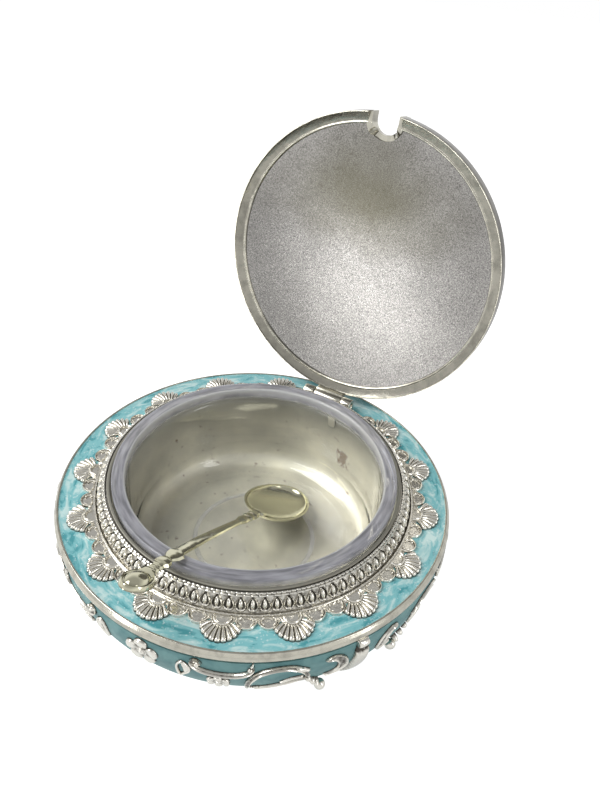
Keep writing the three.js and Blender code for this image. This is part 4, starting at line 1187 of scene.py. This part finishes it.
class FRUITBOX_OT_frieze(Operator):
    """Build the scrolls, leaves and flowers cast on the wall"""

    bl_idname = "fruit_box.frieze"
    bl_label = "Frieze on the wall"

    def execute(self, context):
        sizes = context.scene.fruit_box_sizes
        height = sizes.relief_height / MM
        half = sizes.relief_width / MM / 2
        for sector in range(SECTORS):
            number = sector + 1
            form = Form()
            place = wall_place(sector)
            petals(form, place, 6.6, height * 1.3, 5, (1.5, 11.2), math.radians(18))
            form.piece(f"flower_{number}", "casing", "relief", [f"wall_flower_{number}"])
            for side, word in ((-1, "left"), (1, "right")):
                place = wall_place(sector, side)
                tail = f"{number}_{word}"
                form = Form()
                strip(form, place, COMMA_RING, 0.55, height, section=ONE_RIDGE, loop=True)
                strip(form, place, COMMA_LEAF, 1.5, height * 0.9, (0.5, 1, 0.4), ONE_RIDGE)
                form.piece(f"comma_{tail}", "casing", "relief", [f"comma_leaf_{tail}"])

                form = Form()
                strip(form, place, SCROLL, half, height, SCROLL_WIDTHS)
                strip(form, place, SCROLL_TIP, 0.7, height * 1.1, (1, 0.2), ONE_RIDGE)
                for middle in SCROLL_BALLS:
                    rings(form, place, 0.95, height * 1.2, BALL_TABLE, None, 16, middle)
                petals(form, place, 4.4, height * 1.3, 6, ROSETTE)
                form.piece(f"c_scroll_{tail}", "casing", "relief", [f"scroll_{tail}"])

                form = Form()
                strip(form, place, FRAME, 1.15, height, FRAME_WIDTHS)
                strip(form, place, FRAME_FOOT, 1.0, height, (0.6, 1, 1, 0.9, 0.6))
                strip(form, place, FRAME_BRANCH, 0.7, height * 0.9, (0.3, 1, 0.5), ONE_RIDGE)
                strip(form, place, FRAME_LEAF, 1.2, height * 1.3, (0.5, 1, 0.15), ONE_RIDGE)
                rings(form, place, 1.2, height * 1.2, BALL_TABLE, None, 20, FRAME_CURL)
                for step, middle in enumerate(STALK[:-1]):
                    rings(form, place, 1.25, 1.6 + step * 0.9, BALL_TABLE, None, 20, middle)
                ball(form, place, STALK[-1], 2.1, 2.5)
                form.piece(f"framed_leaf_{tail}", "casing", "relief", [f"leaf_frame_{tail}"])

                form = Form()
                # The left hooks were cast a little nearer to the legs.
                shift = HOOK_TURN * BELLY_RADIUS if side < 0 else 0
                hook = [(along + shift, drop) for along, drop in HOOK]
                strip(form, place, hook, 1.6, height, HOOK_WIDTHS)
                form.piece(f"crescent_{tail}", "casing", "relief", [f"hook_leaf_{tail}"])
        return {"FINISHED"}


# Rise of a leg off the wall at some drops below the deck, and its share of painted shade there: its rolled
# top, the fold under it, which is painted darkest, the strap.
LEG_DROPS = [3.4, 3.9, 4.6, 5.4, 6.1, 6.6, 7.4, 8.2, 9.0, 11, 15, 20, 26, 33, 42.4]
LEG_RISES = [0.2, 1.5, 2.1, 2.2, 1.9, 0.9, 0.6, 0.9, 1.7, 2.0, 2.0, 1.9, 1.7, 1.4, 1.2]
LEG_HOLLOWS = [0.5, 0.1, 0.0, 0.1, 0.5, 1.0, 1.1, 0.9, 0.3, 0.1, 0.1, 0.2, 0.3, 0.4, 0.5]
LEG_TOP = LEG_DROPS[0]
LEG_END = DECK_TOP - 5.6
LEG_ASIDE = math.radians(-2.2) * BELLY_RADIUS


class FRUITBOX_OT_legs(Operator):
    """Build the strap legs with their rolled tops"""

    bl_idname = "fruit_box.legs"
    bl_label = "Legs"

    def execute(self, context):
        for sector in range(SECTORS):
            place = wall_place(sector)
            middle = SECTOR_TURN / 2 * BELLY_RADIUS + LEG_ASIDE
            form = Form()
            drop = np.concatenate([np.linspace(LEG_TOP, 10, 23), np.linspace(10.8, LEG_END, 28)])[:, None]
            half = 2.2 + 0.5 * np.clip((drop - 6) / 3, 0, 1) + 0.6 * ((drop - LEG_TOP) / 39) ** 2
            # The fold under the roll points down in the middle.
            felt = drop - 1.5 * (1 - np.abs(LEG_SECTION[:, 0])) * np.clip((drop - 6.2) / 1.5, 0, 1)
            lift = LEG_SECTION[:, 1] * np.interp(felt, LEG_DROPS, LEG_RISES)
            # Painted shade: darkest in the fold under the roll, and darker toward the strap's edges.
            hollow = np.interp(felt, LEG_DROPS, LEG_HOLLOWS) + 0.5 * (1 - LEG_SECTION[:, 1])
            aside = middle + LEG_SECTION[:, 0] * half
            top = place(aside, drop, lift)
            foot = place(aside[:, [-1, 0]], drop, -SUNK)
            form.tube(np.concatenate([top, foot], 1), np.hstack([hollow, np.ones((len(drop), 2))]))
            form.piece(f"strap_leg_{sector + 1}", "casing", "relief", [f"leg_{sector + 1}"])
        return {"FINISHED"}


# The cup's long corner, and the hinge bracket's tab on its wall.
CORNER_WIDTH = 11
CORNER_HEIGHT = 22
TAB_TURN = math.radians(82)
TAB_TOP = 50.5
TAB_HALF = 2.2


class FRUITBOX_OT_cup(Operator):
    """Build the metal cup with its rolled lip"""

    bl_idname = "fruit_box.cup"
    bl_label = "Metal cup"

    def execute(self, context):
        outer, inner = 58.1, 57.3
        lip, base = DECK_METAL + COLLAR_RISE + 0.3, 12

        def curve(radius):
            bend = np.linspace(0, math.pi / 2, 16)
            inset = CORNER_WIDTH * (1 - np.sin(bend))
            return [*zip(radius - inset, base + CORNER_HEIGHT * (1 - np.cos(bend)))]

        form = Form()
        outline = rounded(
            [
                (0, base),
                *curve(outer),
                (outer, lip),
                (58.7, lip, 0.3),
                (58.7, lip + 1.1, 0.5),
                (inner, lip + 1.1, 0.5),
                *[(r, z + 1) for r, z in curve(inner)[::-1]],
                (0, base + 1),
            ],
            8,
        )
        buffed = np.array([float(z > lip + 0.1) for _, z in outline])[:, None]
        form.lathe(outline, context.scene.fruit_box_sizes.turning_steps, hollow=buffed)
        # A tab of the hinge's bracket shows on the wall inside, near the right knuckle.
        across = np.linspace(-TAB_HALF, TAB_HALF, 13)[None, :]
        down = np.linspace(0, 1, 9)[:, None]
        length = 4.6 + 1.9 * np.sqrt(np.clip(1 - (across / TAB_HALF) ** 4, 0, 1))
        angle = TAB_TURN - across / inner
        height = TAB_TOP - down * length
        outlined = np.ones(height.shape)
        outlined[:-1, 1:-1] = 0.1
        form.blanket(polar(inner - 0.9, angle, height), polar(inner + 0.3, angle, height), outlined)
        form.piece("metal_cup", "casing", "cup", ["inner_cup"])
        return {"FINISHED"}


GROUND_DEPTH = 1.5  # of the glass's ground rim


class FRUITBOX_OT_glass(Operator):
    """Build the pressed glass bowl"""

    bl_idname = "fruit_box.glass"
    bl_label = "Glass bowl"

    def execute(self, context):
        rim, inner, top, floor, under = 56.8, 51.5, high("glass_bowl", 2), 16.8, 13.3
        outline = rounded(
            [
                (0, under),
                (16, under),
                (42, under, 2),
                (53.2, 17.6, 6),
                (53.6, 30),
                (54.7, 50.4, 2),
                (rim, 52.4, 1.2),
                (rim, top, 1.1),
                (inner, top, 0.8),
                (inner - 0.5, 50.2, 3),
                (49.6, 24.5, 6),
                (44, floor, 7),
                (26.6, floor, 0.4),
                (26.0, floor + 0.35, 0.5),
                (25.0, floor + 0.35, 0.5),
                (24.4, floor, 0.4),
                (0, floor),
            ],
            6,
        )
        # The ground rim is milky, with a white inner edge, and so is the ring pressed into the floor.
        r, z = np.array(outline).T
        ground = z > top - GROUND_DEPTH
        ring = (r > 24) & (r < 27) & (z > floor + 0.1)
        milk = np.where(ground, np.where(r < inner + 0.7, 2.0, 1.0), np.where(ring, 0.5, 0.0))
        form = Form()
        form.lathe(outline, context.scene.fruit_box_sizes.turning_steps, hollow=milk[:, None])
        form.piece("pressed_bowl", "glass", "glass", ["glass_bowl"])
        return {"FINISHED"}


# The handle's end bends down and aside, with the square of the way from these places on it.
HANDLE_SAG = 0.0012
SAG_START = 62
HANDLE_BOW = 0.0007
BOW_START = 45

# Middle and half sizes of the oval medal at its end.
MEDAL_PLACE = 104.6
MEDAL_HALVES = (5.2, 6.9)

# The handle's cross-section, as shares of its half width and half thickness.
HANDLE_SECTION = np.array(
    [(-1, 0), (-0.8, 0.72), (0, 1), (0.8, 0.72), (1, 0), (0.75, -0.5), (0, -0.8), (-0.75, -0.5)]
)

# Where the handle starts, and the shares at which its table is drawn.
HANDLE_START = 17.4
HANDLE_LENGTH = 0.945
HANDLE_WIDTH = 1.2
HANDLE_THICKNESS = 1.1

# Along the handle: distance from its start, half width and half thickness.
HANDLE = [
    (0, 3.6, 0.5), (1.5, 3.0, 1.0), (3.5, 2.6, 1.2), (5.0, 1.5, 1.0), (6.0, 1.3, 1.0), (7.0, 2.1, 1.4),
    (9.0, 2.3, 1.5), (10.2, 1.5, 1.1), (11.0, 2.0, 1.3), (13.0, 2.2, 1.3), (14.0, 1.4, 1.0),
    (15.0, 1.9, 1.2), (18.0, 2.1, 1.2), (21.0, 1.3, 1.0), (34.0, 1.5, 1.0), (56.0, 1.9, 1.0),
    (66.0, 1.8, 1.0), (68.0, 2.9, 1.05), (71.0, 2.6, 1.05), (73.5, 1.4, 0.9), (75.0, 2.3, 1.2),
    (77.5, 2.5, 1.3), (79.0, 1.5, 1.0), (80.2, 1.9, 1.2), (81.4, 1.4, 1.0), (82.6, 1.9, 1.2),
    (83.8, 1.4, 1.0), (85.2, 2.2, 1.2), (88.0, 3.0, 0.8), (93.0, 3.0, 0.6),
]


class FRUITBOX_OT_spoon(Operator):
    """Build the spoon with its faceted handle and oval end"""

    bl_idname = "fruit_box.spoon"
    bl_label = "Spoon"

    def execute(self, context):
        form = Form()
        turn = np.linspace(0, TURN, 64, endpoint=False)[None, :]
        # The bowl's two sheets, a little narrower toward its tip.
        rows = []
        for shrink, order in ((0.0, 1), (BOWL_SHEET, -1)):
            halves = [half - shrink for half in BOWL_HALVES]
            fall = np.linspace(math.pi / 2, 0.03 if shrink else 0, 17)[::order, None]
            x = halves[0] * np.cos(fall) * np.cos(turn) * (1 - 0.08 * np.sin(turn))
            y = HEEL - BOWL_HALVES[1] + halves[1] * np.cos(fall) * np.sin(turn)
            z = -halves[2] * np.sin(fall) + 0 * turn
            rows.append(np.stack(np.broadcast_arrays(x, y, z), -1))
        form.grid(np.concatenate(rows), wrap_columns=True)
        form.move(Matrix.Rotation(SPOON_BEND, 4, "X"))

        distance, width, thick = np.array(HANDLE).T
        reach = HANDLE_START + HANDLE_LENGTH * distance
        along = np.linspace(reach[0], reach[-1], 260)[:, None]
        wide = np.interp(along, reach, width * HANDLE_WIDTH)
        deep = np.interp(along, reach, thick * HANDLE_THICKNESS)
        x = HANDLE_SECTION[:, 0] * wide
        sag = HANDLE_SAG * np.clip(along - SAG_START, 0, None) ** 2
        z = HANDLE_SECTION[:, 1] * deep - HANDLE_DROP - 0.1 - sag
        bow = HANDLE_BOW * np.clip(along - BOW_START, 0, None) ** 2
        points = np.stack([x + bow, 0 * x - along, z], -1)
        # The necks between the mouldings near both ends are darkened as painted shade.
        groove = np.clip((1.55 - wide) / 0.8, 0, 0.6) * ((along > 75) | (along < 34))
        handle = Form()
        handle.tube(points, groove + 0 * x)
        # The medal: a domed oval with a rim.
        share = np.array([0, 0.2, 0.4, 0.55, 0.66, 0.74, 0.8, 0.86, 0.93, 1.0])[:, None]
        dome = np.interp(share, [0, 0.4, 0.66, 0.78, 0.84, 0.93, 1], [1, 0.86, 0.5, 0.12, 0.32, 0.36, 0.0])
        x = MEDAL_HALVES[0] * share * np.cos(turn) + HANDLE_BOW * (MEDAL_PLACE - BOW_START) ** 2
        y = MEDAL_HALVES[1] * share * np.sin(turn) - MEDAL_PLACE
        top = np.stack(np.broadcast_arrays(x, y, 2.6 * dome - HANDLE_DROP - 2.2), -1)
        under = top.copy()
        under[..., 2] = -HANDLE_DROP - 3.1
        # The groove inside the medal's rim is darkened as painted shade.
        handle.blanket(top, under, np.interp(share, [0.7, 0.79, 0.86], [0, 0.8, 0]) + 0 * turn, wrap=True)
        form.join(handle)
        seat = Matrix.Translation((0, SPOON_BOWL_Y, SPOON_SEAT))
        form.move(seat @ Matrix.Rotation(-SPOON_LEAN, 4, "X"))
        # It lies a little askew about the place where the handle crosses the rim.
        rest = Matrix.Translation((0, -RIM_CROSSING, 0))
        form.move(rest @ Matrix.Rotation(SPOON_ASKEW, 4, "Z") @ rest.inverted())
        form.piece("tea_spoon", "spoon", "spoon", ["spoon"], sharp=28)
        return {"FINISHED"}


def round_arc(radius, angles):
    return [*zip(radius * np.cos(angles), radius * np.sin(angles))]


def barrel(form, corners, bore, start, end, edge):
    """A bored piece along X whose outline is seen from the pin's axis, with rounded end edges."""
    outline = np.array(rounded(corners, 6))
    closed = np.vstack([outline, outline[:1]])
    lengths = np.concatenate([[0], np.cumsum(np.hypot(*np.diff(closed, axis=0).T))])
    at = np.linspace(0, lengths[-1], 720, endpoint=False)
    y, z = [np.interp(at, lengths, closed[:, k]) for k in (0, 1)]
    angles = np.arctan2(z, y) % TURN
    order = np.argsort(angles)
    turn = np.linspace(0, TURN, 96, endpoint=False)
    reach = np.interp(turn, angles[order], np.hypot(y, z)[order], period=TURN)
    bend = np.linspace(0, math.pi / 2, 5)
    rows = [(start + edge * (1 - math.cos(b)), edge * (1 - math.sin(b))) for b in bend]
    rows += [(end - edge * (1 - math.cos(b)), edge * (1 - math.sin(b))) for b in bend[::-1]]
    sheets = [(x, reach - inset) for x, inset in rows]
    sheets += [(end, bore + 0.6 + 0 * turn), (end - 0.8, bore + 0 * turn)]
    sheets += [(start + 0.8, bore + 0 * turn), (start, bore + 0.6 + 0 * turn)]
    points = [np.stack([x + 0 * turn, r * np.cos(turn), r * np.sin(turn)], -1) for x, r in sheets]
    form.grid(np.array(points), wrap_rows=True, wrap_columns=True)


class FRUITBOX_OT_hinge(Operator):
    """Build the knuckles of the hinge"""

    bl_idname = "fruit_box.hinge"
    bl_label = "Hinge"

    def execute(self, context):
        arc = round_arc(KNUCKLE_RADIUS, np.linspace(0, math.pi, 25))
        for side, word in ((-1, "left"), (1, "right")):
            form = Form()
            start, end = sorted(side * reach for reach in KNUCKLE_ENDS)
            barrel(form, [(-0.4, -3.6), (KNUCKLE_RADIUS, -3.6), *arc], PIN_BORE, start, end, 0.4)
            form.move(HINGE)
            nodes = [f"casing_knuckle_{word}"]
            form.piece(f"fixed_knuckle_{word}", "casing", "bright", nodes)
        arc = round_arc(LID_KNUCKLE_RADIUS, np.radians(np.arange(168, 460, 8)))
        ends = (-LID_KNUCKLE_HALF, LID_KNUCKLE_HALF)
        form = Form()
        barrel(form, [*arc, (-1.05, 4.3, 0.3), (-3.1, 4.3, 0.3), (-3.1, 0.7)], PIN_BORE, *ends, 0.6)
        form.move(OPENED @ HINGE)
        form.piece("long_knuckle", "lid", "bright", ["lid_knuckle"])
        return {"FINISHED"}


def notched_lathe(form, profile, steps, half, hollow=0.0):
    """Turns a profile nearly the whole way, with straight ends at either side of the spoon's notch."""
    profile = np.array(profile, float)
    cut = np.arcsin(half / profile[:, :1])
    share = np.linspace(0, 1, steps + 1)[None, :]
    angle = FRONT + cut + share * (TURN - 2 * cut)
    index = form.grid(polar(profile[:, :1], angle, profile[:, 1:2]), hollow, wrap_rows=True)
    form.faces += [index[:, 0].tolist(), index[::-1, -1].tolist()]


def notched_edge(radius, steps):
    """Angles round a disc and how far it reaches at each, up to its edge or to the notch's round end."""
    wide = math.asin(NOTCH_CUT / radius) * 1.02
    fine = np.linspace(FRONT - wide, FRONT + wide, 49)
    rest = np.linspace(FRONT + wide, FRONT - wide + TURN, steps)[1:-1]
    angles = np.concatenate([fine, rest])
    off = angles - FRONT
    inside = NOTCH_CUT**2 - (NOTCH_MIDDLE * np.sin(off)) ** 2
    near = NOTCH_MIDDLE * np.cos(off) - np.sqrt(np.clip(inside, 0, None))
    notch = (inside > 0) & (np.cos(off) > 0)
    return angles, np.where(notch, np.minimum(near, radius), radius)


def dome_shell(form, inner, radius, low_lift, high_lift, steps):
    """A shell that follows the lid's dome, from an inner radius to its notched edge."""
    angles, reach = notched_edge(radius, steps)
    share = np.linspace(0, 1, 14)[:, None]
    radii = inner + (reach[None, :] - inner) * share
    sheets = []
    for lift, order in ((low_lift, 1), (high_lift, -1)):
        stretch = (DOME_RADIUS + lift) / DOME_RADIUS
        spread = radii[::order]
        height = DOME_Z + np.sqrt(DOME_RADIUS**2 - spread**2) * stretch
        sheets.append(polar(spread, angles, height))
    form.grid(np.concatenate(sheets), wrap_rows=True, wrap_columns=True)


def lid_ring(inner, outer, low_lift, high_lift):
    """A flat ring that follows the dome, as a profile of radius and height."""
    radii = np.linspace(inner, outer, 6)
    height = DOME_Z + np.sqrt(DOME_RADIUS**2 - radii**2)
    return [*zip(radii, height + low_lift), *zip(radii[::-1], height[::-1] + high_lift)]


def lining(form, inner, outer, bottom, top):
    """A raised edge round the U-shaped notch, with a rounded top and room for the spoon's handle."""
    arc = np.linspace(0, math.pi, 33)
    edge = rounded([(inner, bottom), (outer, bottom), (outer, top, 0.4), (inner, top, 0.4)])
    points = []
    for reach, z in edge:
        end = 0.4 - math.sqrt(LID_RADIUS**2 - reach**2)
        x = np.concatenate([[reach], reach * np.cos(arc), [-reach]])
        y = np.concatenate([[end], -NOTCH_MIDDLE + reach * np.sin(arc), [end]])
        room = HANDLE_ROOM[1] * np.clip(HANDLE_ROOM[0] - np.abs(x), 0, 1) * (z == bottom)
        points.append(np.column_stack([x, y, z + room]))
    form.tube(np.array(points).transpose(1, 0, 2))


# Outlines of the rim, from the lid's plane, and of the knob, from the enamel: radius, rise and rounding.
RIM = [
    (61.85, 0.05, 0.1), (62.2, 0, 0.1), (LID_RADIUS - 0.25, 1.3, 0.5), (LID_RADIUS - 0.25, 6.2, 0.8),
    (61, 7.4, 0.8), (58.3, 7.4, 0.4), (58.3, 4.6, 0), (57.4, 4.3, 0), (57.4, 2.3, 0.2), (57.9, 1.9, 0.2),
    (58.5, 2.1, 0.2), (61.7, 0.6, 0.2),
]
KNOB = [
    (8.5, 0, 0.2), (8.5, 0.9, 0.4), (6.6, 1.4, 0.4), (5.6, 1.2, 0.4), (4.6, 2.0, 0.5), (2.6, 2.8, 0.8),
    (2.5, 4.2, 0.4), (3.4, 4.6, 0.3), (2.8, 5.1, 0.3), (4.6, 6.6, 1.2), (5.2, 9.0, 2.0), (4.2, 12.2, 2.0),
    (1.6, 14.0, 0.8), (1.2, 15.4, 0.5),
]


class FRUITBOX_OT_lid(Operator):
    """Build the lid: its cast dish, rim, enamel, rosette, knob and notch lining"""

    bl_idname = "fruit_box.lid"
    bl_label = "Lid"

    def execute(self, context):
        sizes = context.scene.fruit_box_sizes
        steps = sizes.turning_steps
        form = Form()
        dome_shell(form, 0, SHELL_RADIUS + 0.3, -1.5, DISH_BACK, steps)
        form.move(OPENED)
        form.piece("cast_dish", "lid", "cast", ["lid_shell"], sharp=30)

        form = Form()
        outline = rounded([(radius, LID_PLANE + rise, bend) for radius, rise, bend in RIM])
        # Painted reflection: the outer wall is darkened as a dark reflection and the face between the edges
        # half as much; the edges keep the bright plating.
        r, z = np.array(outline).T
        edges = (z < LID_PLANE + 0.25) | (r < 58.4)
        hollow = np.where(r > 62.25, 0.92, np.where(edges, 0.0, 0.42))
        notched_lathe(form, outline, steps, NOTCH_HALF + 0.6, hollow[:, None])
        form.move(OPENED)
        form.piece("rolled_rim", "lid", "bright", ["lid_rim"], sharp=45)

        form = Form()
        dome_shell(form, 13, 56.6, 2.5, 3.2, steps)
        form.move(OPENED)
        form.piece("pearl_lid", "lid", "deck", ["lid_enamel"])

        form = Form()
        base = DISH_BACK + 0.6 + ENAMEL
        for angle in np.linspace(0, TURN, ROSETTE_FANS, endpoint=False):
            place = dome_place(angle, ROSETTE_RADIUS, base, 0.68)
            fan(form, place, 7, sizes.fan_height / MM, sizes.fan_ribs)
        # The ring under the rosette's fans is half darkened as painted shade.
        form.lathe(lid_ring(14.2, ROSETTE_RADIUS + 1.4, base, base + 0.8), steps, hollow=0.5)
        form.move(OPENED)
        form.piece("lid_rosette", "lid", "relief", ["lid_lace"])

        form = Form()
        bottom = DOME_Z + DOME_RADIUS + 2.5
        outline = rounded([(radius, bottom + rise, bend) for radius, rise, bend in KNOB])
        form.lathe([(0, bottom), *outline, (0, bottom + 15.9)], steps // 2)
        form.move(OPENED)
        form.piece("turned_knob", "lid", "bright", ["lid_knob"])

        form = Form()
        lining(form, NOTCH_HALF - 0.9, NOTCH_HALF + 1.5, LID_PLANE + 2, LID_PLANE + 8.4)
        form.move(OPENED)
        form.piece("notch_edge", "lid", "bright", ["notch_lining"])
        return {"FINISHED"}


class FRUITBOX_OT_carried(Operator):
    """Give the carried-over base plate, screws and hinge pin their finish"""

    bl_idname = "fruit_box.carried"
    bl_label = "Base and pin"

    def execute(self, context):
        for name, node in frame["nodes"].items():
            if not node.hide_render:
                node.data.materials.clear()
                node.data.materials.append(finishes()["cup" if name == "base_plate" else "bright"])
        return {"FINISHED"}


class FRUITBOX_PT_panel(Panel):
    """Lists the builders and their settings"""

    bl_idname = "FRUITBOX_PT_panel"
    bl_label = "Dry Fruit Box"
    bl_space_type = "VIEW_3D"
    bl_region_type = "UI"
    bl_category = "Fruit Box"

    def draw(self, context):
        layout = self.layout
        for operator in OPERATORS:
            layout.operator(operator.bl_idname)
        for group in ("fruit_box_sizes", "fruit_box_colours", "fruit_box_studio"):
            settings = getattr(context.scene, group)
            column = layout.box().column()
            for key in settings.__annotations__:
                column.prop(settings, key)


GROUPS = (BoxSizes, BoxColours, StudioSettings)
OPERATORS = (
    FRUITBOX_OT_studio,
    FRUITBOX_OT_casing,
    FRUITBOX_OT_enamels,
    FRUITBOX_OT_lace,
    FRUITBOX_OT_collar,
    FRUITBOX_OT_frieze,
    FRUITBOX_OT_legs,
    FRUITBOX_OT_cup,
    FRUITBOX_OT_glass,
    FRUITBOX_OT_spoon,
    FRUITBOX_OT_hinge,
    FRUITBOX_OT_lid,
    FRUITBOX_OT_carried,
)
CLASSES = (*GROUPS, *OPERATORS, FRUITBOX_PT_panel)


def register():
    for cls in CLASSES:
        bpy.utils.register_class(cls)
    bpy.types.Scene.fruit_box_sizes = PointerProperty(type=BoxSizes)
    bpy.types.Scene.fruit_box_colours = PointerProperty(type=BoxColours)
    bpy.types.Scene.fruit_box_studio = PointerProperty(type=StudioSettings)


def unregister():
    del bpy.types.Scene.fruit_box_studio
    del bpy.types.Scene.fruit_box_colours
    del bpy.types.Scene.fruit_box_sizes
    for cls in reversed(CLASSES):
        bpy.utils.unregister_class(cls)


def main():
    register()
    for operator in OPERATORS:
        group, name = operator.bl_idname.split(".")
        getattr(getattr(bpy.ops, group), name)()


if __name__ == "__main__":
    main()
